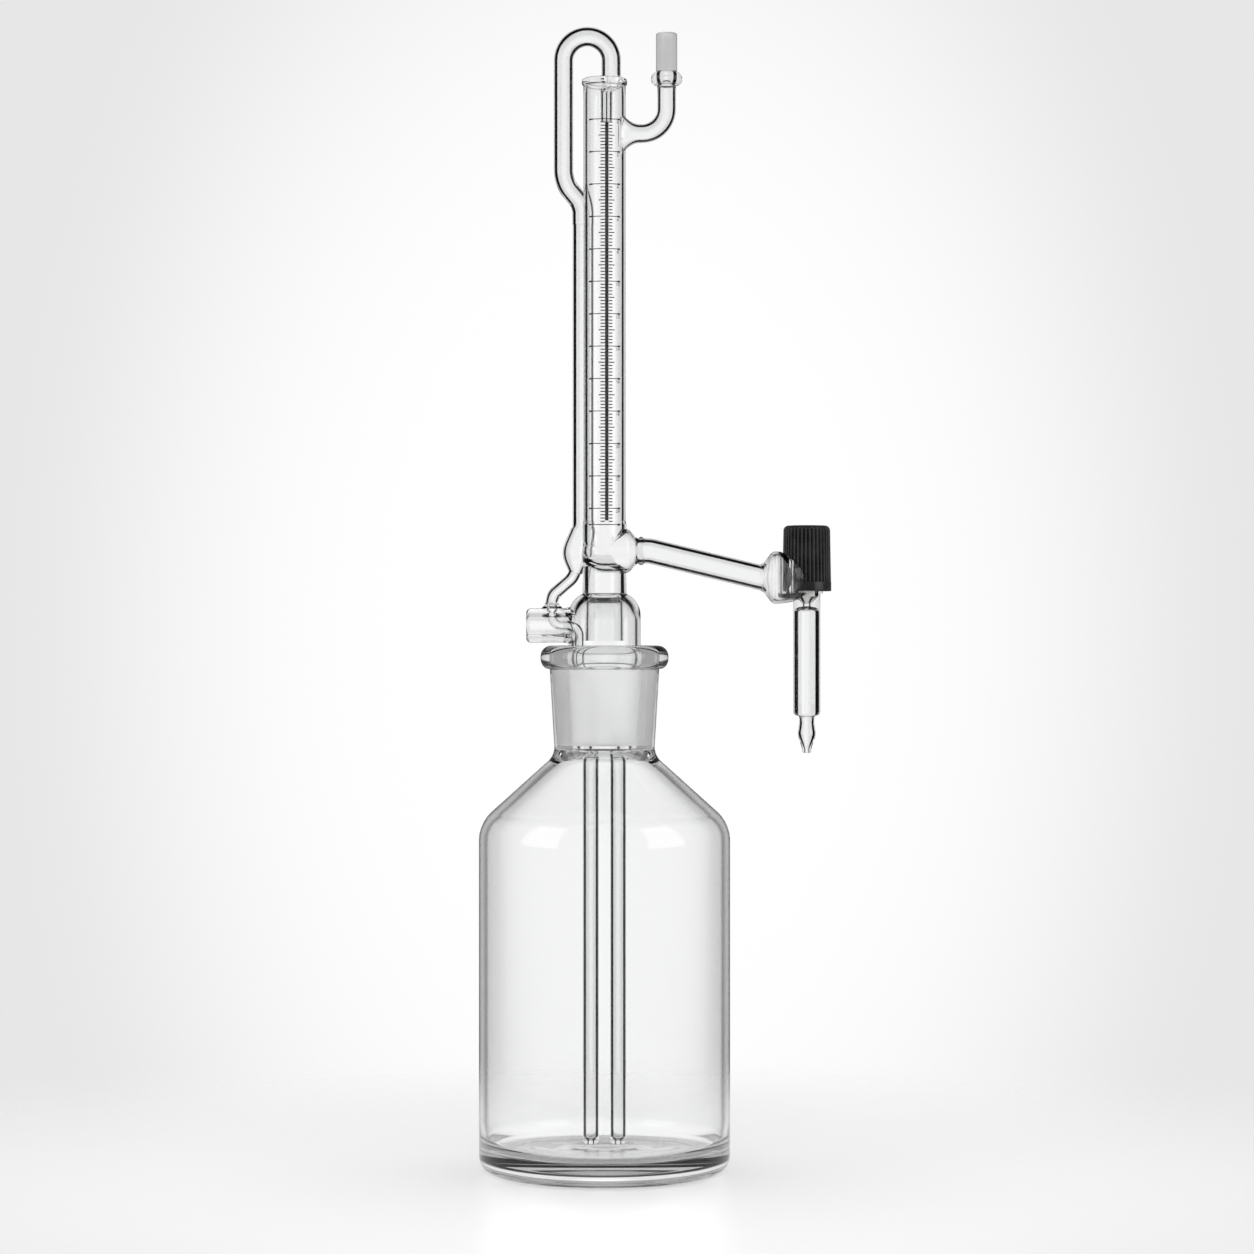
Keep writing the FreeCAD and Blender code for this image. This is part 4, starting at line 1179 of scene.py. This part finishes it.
@dataclass
class VentArm:
    """Side arm near the top, turned up to carry a guard tube's ground joint."""

    x: float = 25.0
    z: float = 417.6
    radius: float = 3.75
    bore: float = 2.55
    bend: float = 10.0
    flare_start: float = 6.2
    flare_end: float = 14.0
    flare_height: float = 9.2
    flare_depth: float = 5.6
    bead_radius: float = 6.25
    bead_foot: float = 436.8
    bead_height: float = 5.4
    joint_radius: float = 4.25
    joint_bore: float = 2.75
    joint_top: float = 458.0

    def flare(self, shrink: float = 0.0) -> bmesh.types.BMesh:
        """Trumpet by which the arm opens into the measuring tube."""
        steps = 12
        ovals = []
        for step in range(steps + 1):
            share = step / steps
            spread = (1 - share) ** 2
            ovals.append(
                Oval(
                    self.flare_start + share * (self.flare_end - self.flare_start),
                    self.radius + spread * (self.flare_height - self.radius) - shrink,
                    self.radius + spread * (self.flare_depth - self.radius) - shrink,
                )
            )
        return lofted(ovals, self.z, sides=48)

    def arm(self, radius: float, top: float) -> bmesh.types.BMesh:
        """A rod along the arm's route."""
        points = [(self.flare_end - 0.6, 0.0, self.z), (self.x, 0.0, self.z), (self.x, 0.0, top)]
        return drawn(points, [self.bend], radius, sides=48, longest_run=3.0)

    def guard(self) -> bmesh.types.BMesh:
        """The guard joint's outside with its bead."""
        foot = self.bead_foot
        corners = [
            Corner(self.radius, foot - 1.5),
            Corner(self.radius, foot, 0.9),
            Corner(self.bead_radius, foot + 0.6, 2.1),
            Corner(self.bead_radius, foot + self.bead_height - 0.6, 2.1),
            Corner(self.joint_radius, foot + self.bead_height, 0.7),
            Corner(self.joint_radius, self.joint_top, 0.7),
        ]
        return turned(corners, steps=56, place=Vector((self.x, 0, 0)), longest_run=2.0)

    def guard_way(self) -> bmesh.types.BMesh:
        """The guard joint's bore, rounded open at its rim."""
        top = self.joint_top
        corners = [
            Corner(self.bore, self.bead_foot - 1),
            Corner(self.bore, self.bead_foot, 0.5),
            Corner(self.joint_bore, self.bead_foot + 2, 0.5),
            Corner(self.joint_bore, top - 0.1, 0.7),
            Corner(self.joint_radius + 1, top - 0.1),
            Corner(self.joint_radius + 1, top + 1),
        ]
        return turned(corners, steps=56, place=Vector((self.x, 0, 0)), longest_run=2.0)

    def forms(self) -> GlassForms:
        """The vent arm's forms."""
        return GlassForms(
            outsides=[self.flare(), self.arm(self.radius, self.bead_foot - 0.5), self.guard()],
            bores=[self.flare(self.radius - self.bore), self.arm(self.bore, self.bead_foot), self.guard_way()],
        )


@dataclass
class DeliveryArm:
    """Sloping arm with the valve's barrel, neck, outlet tube and jet."""

    chamber: JunctionChamber
    knee_x: float = 18.3
    knee_bend: float = 12.0
    slope: float = 0.24
    valve_x: float = 81.4
    valve_z: float = 238.9
    barrel_start: float = 63.0
    barrel_full: float = 68.4
    barrel_end: float = 88.0
    barrel_radius: float = 10.5
    weld_radius: float = 5.5
    barrel_wall: float = 1.6
    barrel_depth: float = 1.2
    pocket_radius: float = 10.45
    pocket_floor: float = 232.8
    pocket_wall: float = 1.4
    neck_radius: float = 6.4
    neck_bore: float = 3.0
    neck_top: float = 251.5
    duct_radius: float = 1.3
    duct_z: float = 231.2
    outlet_radius: float = 5.45
    outlet_bore: float = 3.5
    outlet_foot: float = 183.3
    seat_top: float = 231.3
    seat: tuple[float, float] = (1.0, 228.4)
    seat_foot: float = 227.2
    seat_end: float = 226.8
    seat_mouth: float = 3.2
    jet_outside: tuple[Corner, ...] = (
        Corner(3.15, 183.3, 0.3),
        Corner(3.0, 180.0, 5.0),
        Corner(3.75, 175.9, 3.0),
        Corner(1.9, 170.1, 3.0),
        Corner(1.75, 168.4, 0.7),
    )
    jet_inside: tuple[Corner, ...] = (
        Corner(2.2, 182.9, 1.0),
        Corner(1.9, 180.0, 4.0),
        Corner(2.45, 176.1, 3.0),
        Corner(0.7, 170.4, 2.0),
        Corner(0.7, 167.4),
    )
    joint_bead: tuple[float, float] = (5.7, 1.6)

    def arm(self, radius: float, start: float, end: float) -> bmesh.types.BMesh:
        """A rod along the arm's route."""
        z = self.chamber.z
        points = [(start, 0.0, z), (self.knee_x, 0.0, z), (end, 0.0, z - self.slope * (end - self.knee_x))]
        return drawn(points, [self.knee_bend], radius, sides=56, longest_run=3.0)

    def weld(self, x: float, radius: float, half_width: float) -> bmesh.types.BMesh:
        """A soft bead of melted glass round the arm."""
        corners = [
            Corner(self.chamber.arm_radius - 0.1, x - half_width, 0.5),
            Corner(radius, x - 0.2, 0.9),
            Corner(radius, x + 0.2, 0.9),
            Corner(self.chamber.arm_radius - 0.1, x + half_width, 0.5),
        ]
        return turned(corners, steps=56, along=Along.X, place=Vector((0, 0, self.chamber.z)), longest_run=1.0)

    def barrel(self, shrink: float = 0.0) -> bmesh.types.BMesh:
        """The barrel's filled oval form, drawn in from its outside by an amount."""
        radius = self.barrel_radius - shrink
        start_radius = self.chamber.arm_bore if shrink else self.weld_radius
        full = self.barrel_full + 0.4 * shrink
        end = self.barrel_end - shrink
        ovals = []
        steps = 10
        for step in range(steps + 1):
            share = step / steps
            swell = eased(share)
            height = start_radius + swell * (radius - start_radius)
            depth = height * (1 + swell * (self.barrel_depth - 1))
            ovals.append(Oval(self.barrel_start + share * (full - self.barrel_start), height, depth))
        for step in range(1, steps + 3):
            share = 0.995 * math.sin(math.pi / 2 * step / (steps + 2))
            height = radius * math.sqrt(1 - share * share)
            ovals.append(Oval(full + share * (end - full), height, height * self.barrel_depth))
        return lofted(ovals, self.valve_z, sides=96)

    def outlet(self) -> bmesh.types.BMesh:
        """Outside of the outlet tube and its jet."""
        corners = [
            Corner(self.outlet_radius, self.pocket_floor + 0.5),
            Corner(self.outlet_radius, self.outlet_foot, 1.9),
            *self.jet_outside,
        ]
        return turned(corners, steps=64, place=Vector((self.valve_x, 0, 0)), longest_run=4.0)

    def outlet_way(self) -> bmesh.types.BMesh:
        """Bore of the outlet tube, from the needle's seat to the jet's fine hole."""
        corners = [
            Corner(self.seat_mouth, self.pocket_floor + 1),
            Corner(self.seat_mouth, self.seat_top),
            Corner(*self.seat),
            Corner(self.seat[0], self.seat_foot, 0.35),
            Corner(self.outlet_bore, self.seat_end, 2.1),
            Corner(self.outlet_bore, self.outlet_foot + 0.6, 2.0),
            *self.jet_inside,
        ]
        return turned(corners, steps=56, place=Vector((self.valve_x, 0, 0)), longest_run=4.0)

    def forms(self) -> GlassForms:
        """The arm's and the valve's forms."""
        above = self.valve_z + 2 * self.barrel_radius
        shell = self.pocket_radius + self.pocket_wall
        pocket = post(self.pocket_radius, self.pocket_floor, above, self.valve_x, steps=96)
        pocket_shell = post(shell, self.pocket_floor - self.pocket_wall, above, self.valve_x, steps=96)
        outlet_rod = post(self.outlet_radius, self.outlet_foot, above, self.valve_x, steps=64)
        hollow = worked(self.barrel(self.barrel_wall), [pocket_shell, outlet_rod], Work.HOLLOW)
        neck = post(self.neck_radius, self.pocket_floor - 0.3, self.neck_top, self.valve_x, steps=64)
        neck_way = post(self.neck_bore, self.pocket_floor - 0.3, self.neck_top + 1, self.valve_x, steps=56)
        duct = turned(
            [Corner(self.duct_radius, self.valve_x - self.pocket_radius), Corner(self.duct_radius, self.valve_x)],
            steps=24,
            along=Along.X,
            place=Vector((0, 0, self.duct_z)),
        )
        return GlassForms(
            outsides=[
                self.arm(self.chamber.arm_radius, self.chamber.neck_x, self.barrel_start + 1.3),
                self.weld(self.chamber.end_x, *self.joint_bead),
                self.barrel(),
            ],
            hollows=[pocket],
            inner_walls=[self.outlet(), neck],
            bores=[
                self.arm(self.chamber.arm_bore, self.chamber.end_x - 0.6, self.barrel_start + 2.5),
                hollow,
                self.outlet_way(),
                neck_way,
                duct,
            ],
        )


@dataclass
class BuretteHead:
    """All the glass of the burette head, fused to one piece."""

    chamber: JunctionChamber = field(default_factory=JunctionChamber)
    vent: VentArm = field(default_factory=VentArm)
    foot: BuretteFoot = field(init=False)
    tube: MeasuringTube = field(init=False)

    def __post_init__(self) -> None:
        """Set the foot and the measuring tube on the chamber."""
        self.foot = BuretteFoot(self.chamber)
        self.tube = MeasuringTube(self.chamber)

    def surface(self, centre: Vector, normal: Vector) -> HeadGlass:
        """The finish of a face, by where it lies and whether it faces outwards."""
        foot, vent, tube = self.foot, self.vent, self.tube
        reach = math.hypot(centre.x, centre.y)
        outward = centre.x * normal.x + centre.y * normal.y > 0
        near = foot.joint_foot[0] - 0.3 < reach < foot.joint_top[0] + 0.3
        cone = foot.joint_foot[1] < centre.z < foot.joint_top[1] - 1.0 and near and outward
        guard_reach = math.hypot(centre.x - vent.x, centre.y)
        guard_foot = vent.bead_foot + vent.bead_height + 0.4
        guard = guard_foot < centre.z < vent.joint_top - 0.8 and vent.joint_radius - 0.2 < guard_reach < 6.0
        if guard:
            return HeadGlass.GUARD
        if reach < tube.bead_radius + 0.2 and tube.top - 0.5 < centre.z < tube.top + 3.0:
            return HeadGlass.SEAL
        port = centre.x < foot.port_end and abs(centre.z - foot.port_z) < foot.port_radius + 0.5
        if port:
            return HeadGlass.PORT
        return HeadGlass.GROUND if cone else HeadGlass.CLEAR

    def build(self, finishes: Finishes) -> bpy.types.Object:
        """Blow the head."""
        parts = [
            self.chamber.forms(),
            self.tube.forms(),
            self.foot.forms(),
            Riser(self.chamber).forms(),
            self.vent.forms(),
            DeliveryArm(self.chamber).forms(),
        ]
        outsides = [form for part in parts for form in part.outsides]
        head = worked(outsides[0], outsides[1:], Work.JOIN)
        head = worked(head, [form for part in parts for form in part.hollows], Work.HOLLOW)
        head = worked(head, [form for part in parts for form in part.inner_walls], Work.JOIN)
        head = worked(head, [form for part in parts for form in part.bores], Work.HOLLOW)
        glass = finished(
            head,
            "burette_head_glass",
            Body.HEAD,
            [
                finishes.burette_glass,
                finishes.ground_glass,
                finishes.guard_glass,
                finishes.port_glass,
                finishes.seal_glass,
            ],
            choose=self.surface,
        )
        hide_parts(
            "ground_cone", "cone_bell", "support_stem", "filling_dip_tube", "air_dip_tube",
            "inner_filling_tube", "hose_port", "link_tube", "riser_bulb", "riser_tube", "overflow_loop", "zero_tip",
            "tube_top_seal", "junction_chamber", "graduated_tube", "vent_arm", "guard_joint", "delivery_arm",
            "valve_barrel", "valve_neck", "outlet_tube", "jet_tip",
        )
        return glass


@dataclass
class Scale:
    """The enamel on the measuring tube: division marks, numerals and the stripe at the back."""

    radius: float = 8.5
    zero: float = 422.4
    length: float = 162.4
    divisions: int = 125
    divisions_per_ml: int = 5
    proud: float = 0.03
    sunk: float = 0.02
    line: float = 0.42
    gap: float = 0.75
    tick_end: float = 2.55
    half_tick: float = 0.75
    ring_reach: float = 6.15
    dash_start: float = 4.7
    numeral_height: float = 1.9
    numeral_x: float = 5.35
    numeral_drop: float = 0.95
    stripe_x: float = 1.0
    stripe_width: float = 1.6
    stripe_depth: float = 0.4
    stripe_foot: float = 261.5
    stripe_top: float = 436.0

    def band(self, start: float, end: float, height: float, z: float, inner: float, outer: float) -> bmesh.types.BMesh:
        """A curved bar on the tube.

        Args:
            start: Angle from the front at which it starts, growing towards +X.
            end: Angle at which it ends.
            height: Its height.
            z: The height of its middle.
            inner: Its inner radius.
            outer: Its outer radius.

        Returns:
            The closed bar in millimetres.
        """
        mesh = bmesh.new()
        low, high = z - height / 2, z + height / 2
        corners = [mesh.verts.new((0.0, -r, h)) for r, h in ((inner, low), (outer, low), (outer, high), (inner, high))]
        face = mesh.faces.new(corners)
        bmesh.ops.rotate(mesh, verts=mesh.verts[:], cent=(0, 0, 0), matrix=Matrix.Rotation(start, 3, "Z"))
        steps = max(2, math.ceil(math.degrees(abs(end - start)) / BAND_STEP))
        spun = bmesh.ops.spin(
            mesh,
            geom=list(face.edges) + list(face.verts),
            cent=(0, 0, 0),
            axis=(0, 0, 1),
            angle=end - start,
            steps=steps,
        )
        last = [item for item in spun["geom_last"] if isinstance(item, bmesh.types.BMEdge)]
        bmesh.ops.contextual_create(mesh, geom=last)
        bmesh.ops.recalc_face_normals(mesh, faces=mesh.faces[:])
        return mesh

    def angle(self, x: float) -> float:
        """Angle from the front of a place across the tube."""
        return math.asin(x / self.radius)

    def bars(self, whole_ring: bool, half_ring: bool) -> list[tuple[float, float, float]]:
        """The bars of one division as start, end and height."""
        if whole_ring:
            return [
                (-self.ring_reach, -self.dash_start, self.line * 1.5),
                (-self.dash_start - 0.05, self.dash_start + 0.55, self.line * 0.8),
                (self.dash_start + 0.5, self.ring_reach + 0.1, self.line * 1.7),
            ]
        reach = self.tick_end + (self.half_tick if half_ring else 0.0)
        return [
            (self.stripe_x - reach, self.stripe_x - self.gap, self.line),
            (self.stripe_x + self.gap, self.stripe_x + reach - 0.3, self.line),
        ]

    def marks(self, finishes: Finishes) -> bpy.types.Object:
        """The division marks."""
        mesh = bmesh.new()
        inner, outer = self.radius - self.sunk, self.radius + self.proud
        for division in range(self.divisions + 1):
            z = self.zero - self.length * division / self.divisions
            whole = division % (2 * self.divisions_per_ml) == 0 or division == self.divisions
            half = division % self.divisions_per_ml == 0
            for start, end, height in self.bars(whole, half):
                bar = self.band(self.angle(start), self.angle(end), height, z, inner, outer)
                data = bpy.data.meshes.new("bar")
                bar.to_mesh(data)
                bar.free()
                mesh.from_mesh(data)
                bpy.data.meshes.remove(data)
        return finished(mesh, "scale_marks", Body.HEAD, [finishes.enamel])

    def numerals(self, finishes: Finishes) -> bpy.types.Object:
        """The numerals beside every second millilitre."""
        mesh = bmesh.new()
        for millilitres in range(0, self.divisions // self.divisions_per_ml + 1, 2):
            z = self.zero - self.length * millilitres * self.divisions_per_ml / self.divisions
            text = bpy.data.curves.new("numeral", "FONT")
            text.body = str(millilitres)
            text.size = self.numeral_height
            text.align_x = "CENTER"
            text.extrude = self.proud
            text.resolution_u = 3
            holder = bpy.data.objects.new("numeral", text)
            bpy.context.scene.collection.objects.link(holder)
            graph = bpy.context.evaluated_depsgraph_get()
            data = bpy.data.meshes.new_from_object(holder.evaluated_get(graph))
            upright = Matrix.Rotation(math.pi / 2, 4, "X")
            turn = Matrix.Rotation(self.angle(self.numeral_x), 4, "Z")
            place = Matrix.Translation((0.0, -self.radius, z - self.numeral_height * self.numeral_drop))
            data.transform(turn @ place @ upright)
            mesh.from_mesh(data)
            bpy.data.objects.remove(holder, do_unlink=True)
        bmesh.ops.remove_doubles(mesh, verts=mesh.verts[:], dist=WELD)
        return finished(mesh, "scale_numerals", Body.HEAD, [finishes.enamel])

    def stripe(self, finishes: Finishes) -> bpy.types.Object:
        """The dark stripe in the tube's back."""
        half = self.angle(self.stripe_width / 2)
        height = self.stripe_top - self.stripe_foot
        middle = (self.stripe_top + self.stripe_foot) / 2
        back = math.pi - self.angle(self.stripe_x)
        mesh = self.band(
            back - half, back + half, height, middle, self.radius - self.stripe_depth, self.radius + self.proud
        )
        stripe = finished(mesh, "reading_line", Body.HEAD, [finishes.enamel])
        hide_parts("reading_stripe")
        return stripe

    def build(self, finishes: Finishes) -> None:
        """Make the enamel pieces."""
        self.marks(finishes)
        self.numerals(finishes)
        self.stripe(finishes)


@dataclass
class ValveKnob:
    """Ribbed knob that screws on the valve's neck and carries the needle."""

    x: float = 81.4
    foot: float = 233.4
    top: float = 259.8
    band_radius: float = 9.85
    band_height: float = 3.8
    rib_foot_radius: float = 9.75
    rib_top_radius: float = 9.35
    top_round: float = 2.0
    dish_radius: float = 6.6
    dish_depth: float = 0.25
    dish_rim: float = 7.2
    ribs: int = 36
    steps_per_rib: int = 8
    groove_depth: float = 0.85
    groove_reach: float = 7.4
    thread_radius: float = 6.48
    ring_radius: float = 7.6
    ring_foot: float = 252.45
    ring_top: float = 253.05
    chamber_radius: float = 7.0
    ceiling: float = 255.95

    def outline(self) -> list[Corner]:
        """The knob's outline, from the middle of its top round to the middle of its ceiling."""
        band_top = self.foot + self.band_height
        return [
            Corner(self.dish_radius, self.top - self.dish_depth, 3.0),
            Corner(self.dish_rim, self.top, 0.5),
            Corner(self.rib_top_radius, self.top, self.top_round),
            Corner(self.rib_foot_radius, band_top + 0.01),
            Corner(self.rib_foot_radius + 0.001, band_top),
            Corner(self.band_radius, band_top - 0.1, 0.2),
            Corner(self.band_radius, self.foot, 0.5),
            Corner(self.thread_radius, self.foot, 0.4),
            Corner(self.thread_radius, self.ring_foot),
            Corner(self.ring_radius, self.ring_foot),
            Corner(self.ring_radius, self.ring_top),
            Corner(self.chamber_radius, self.ring_top),
            Corner(self.chamber_radius, self.ceiling),
        ]

    def cut_grooves(self, mesh: bmesh.types.BMesh) -> None:
        """Draw the outer wall in along the grooves between the ribs."""
        band_top = self.foot + self.band_height + 0.005
        pitch = math.tau / self.ribs
        groups: dict[float, list] = {}
        for vert in mesh.verts:
            reach = math.hypot(vert.co.x, vert.co.y)
            if vert.co.z < band_top or reach < self.groove_reach:
                continue
            turn = math.atan2(vert.co.y, vert.co.x) / pitch
            step = round((turn - math.floor(turn)) * self.steps_per_rib) % self.steps_per_rib
            fade = min(1.0, max(0.0, (self.top - vert.co.z) / self.top_round)) ** 0.5
            depth = self.groove_depth * GROOVE_SHARES.get(step, 0.0) * fade
            if depth:
                groups.setdefault(round(1 - depth / reach, 5), []).append(vert)
        for factor, verts in groups.items():
            bmesh.ops.scale(mesh, vec=(factor, factor, 1.0), verts=verts)

    def build(self, finishes: Finishes) -> bpy.types.Object:
        """Make the knob."""
        mesh = turned(self.outline(), self.ribs * self.steps_per_rib, longest_run=30.0)
        self.cut_grooves(mesh)
        bmesh.ops.translate(mesh, verts=mesh.verts[:], vec=(self.x, 0, 0))
        knob = finished(mesh, "ribbed_knob", Body.KNOB, [finishes.knob], sharp=math.radians(55))
        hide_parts("valve_knob")
        return knob


def dress_nodes(finishes: Finishes) -> None:
    """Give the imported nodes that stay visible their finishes."""
    for name, material in (
        ("valve_spindle", finishes.needle),
        ("thrust_washer", finishes.needle),
        ("spindle_o_rings", finishes.rubber),
        ("retaining_ring", finishes.steel),
    ):
        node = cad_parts[name]
        node.data.materials.clear()
        node.data.materials.append(material)
        log.info("%s: dressed", name)


@dataclass
class Studio:
    """Pale floor, plain light and the camera of the photograph."""

    camera_place: tuple[float, float, float] = (0.00905, -1.449, 0.219)
    focal_pixels: float = 3600.0
    sensor_width: float = 36.0
    nearest: float = 0.01
    floor_radius: float = 1.1
    floor_fade: tuple[float, float] = (0.12, 0.42)
    floor_tint: Tint = (0.97, 0.97, 0.97, 1.0)
    floor_roughness: float = 0.32
    far_reach: tuple[float, float] = (0.002, 0.03)
    dark_height: tuple[float, float] = (0.2, 0.6)
    dark_aside: tuple[float, float] = (0.0, 0.12)
    edge_level: float = 0.8
    upright_share: float = 0.4
    mirror_level: float = 0.16
    light_level: float = 1.1
    zenith_dark: float = 0.5
    lamp_size: tuple[float, float] = (0.75, 1.2)
    lamp_power: float = 4.5
    left_lamp: tuple[float, float, float] = (-0.96, -0.53, 0.75)
    right_lamp: tuple[float, float, float] = (0.94, -0.57, 0.75)

    def camera(self) -> None:
        """Set up the camera."""
        data = bpy.data.cameras.new("camera")
        data.sensor_width = self.sensor_width
        data.lens = data.sensor_width * self.focal_pixels / PICTURE_WIDTH
        data.clip_start = self.nearest
        camera = bpy.data.objects.new("camera", data)
        camera.location = self.camera_place
        camera.rotation_euler = (math.pi / 2, 0.0, 0.0)
        bpy.context.scene.collection.objects.link(camera)
        bpy.context.scene.camera = camera

    def floor(self) -> None:
        """Lay the floor, which keeps the object's shadow and fades into the background."""
        mesh = bmesh.new()
        bmesh.ops.create_circle(mesh, cap_ends=True, segments=96, radius=self.floor_radius)
        data = bpy.data.meshes.new("floor")
        mesh.to_mesh(data)
        mesh.free()
        floor = bpy.data.objects.new("floor", data)
        bpy.context.scene.collection.objects.link(floor)
        material, graph, shader = new_material("pale_floor")
        where = graph.node("ShaderNodeTexCoord").outputs["Object"]
        reach = graph.node("ShaderNodeVectorMath", {0: where}, operation="LENGTH").outputs["Value"]
        fade = graph.ramp(reach, *self.floor_fade, 1.0, 0.0)
        graph.feed(shader, {"Base Color": self.floor_tint, "Roughness": self.floor_roughness, "Alpha": fade})
        data.materials.append(material)

    def world(self) -> None:
        """Set up the sky: a white background that darkens softly outwards, and even light."""
        world = bpy.data.worlds.new("studio")
        bpy.context.scene.world = world
        world.use_nodes = True
        graph = Graph(world.node_tree)
        where = graph.node("ShaderNodeTexCoord").outputs["Generated"]
        parts = graph.node("ShaderNodeSeparateXYZ", {0: where}).outputs
        across = graph.math("MULTIPLY", parts["X"], parts["X"])
        upright = graph.math("MULTIPLY", parts["Z"], parts["Z"])
        reach = graph.math("MULTIPLY_ADD", upright, self.upright_share, across)
        far = graph.ramp(reach, *self.far_reach, 1.0, self.edge_level)
        path = graph.node("ShaderNodeLightPath").outputs
        through = graph.math("MAXIMUM", path["Is Camera Ray"], path["Is Transmission Ray"])
        high = graph.ramp(parts["Z"], *self.dark_height, 0.0, self.zenith_dark)
        aside = graph.ramp(across, *self.dark_aside, 0.0, 1.0)
        height = graph.math("SUBTRACT", 1.0, graph.math("MULTIPLY", high, aside))
        level = graph.math("MULTIPLY", far, height)
        mirrored = graph.math("MULTIPLY", level, self.mirror_level)
        other = graph.node(
            "ShaderNodeMix", {0: path["Is Glossy Ray"], 2: self.light_level, 3: mirrored}, data_type="FLOAT"
        ).outputs[0]
        lit = graph.node("ShaderNodeMix", {0: through, 2: other, 3: level}, data_type="FLOAT").outputs[0]
        back = graph.node("ShaderNodeBackground", {"Color": (1.0, 1.0, 1.0, 1.0), "Strength": lit})
        graph.node("ShaderNodeOutputWorld", {"Surface": back.outputs[0]})

    def lamps(self) -> None:
        """Stand two tall soft lamps left and right of the camera."""
        for name, place in (("left_lamp", self.left_lamp), ("right_lamp", self.right_lamp)):
            data = bpy.data.lights.new(name, "AREA")
            data.shape = "RECTANGLE"
            data.size, data.size_y = self.lamp_size
            data.energy = self.lamp_power
            lamp = bpy.data.objects.new(name, data)
            lamp.location = place
            aim = Vector((0.0, 0.0, place[2])) - Vector(place)
            lamp.rotation_euler = aim.to_track_quat("-Z", "Y").to_euler()
            bpy.context.scene.collection.objects.link(lamp)

    def build(self) -> None:
        """Set up the studio."""
        bpy.context.scene.view_settings.view_transform = "Standard"
        self.camera()
        self.floor()
        self.world()
        self.lamps()


def main() -> None:
    """Build the pieces in order and set up the studio."""
    logging.basicConfig(level=logging.INFO, format="%(relativeCreated)d ms %(name)s %(message)s", stream=sys.stdout)
    Studio().build()
    finishes = Finishes()
    ReservoirBottle().build(finishes)
    BuretteHead().build(finishes)
    Scale().build(finishes)
    ValveKnob().build(finishes)
    dress_nodes(finishes)


if __name__ == "__main__":
    main()
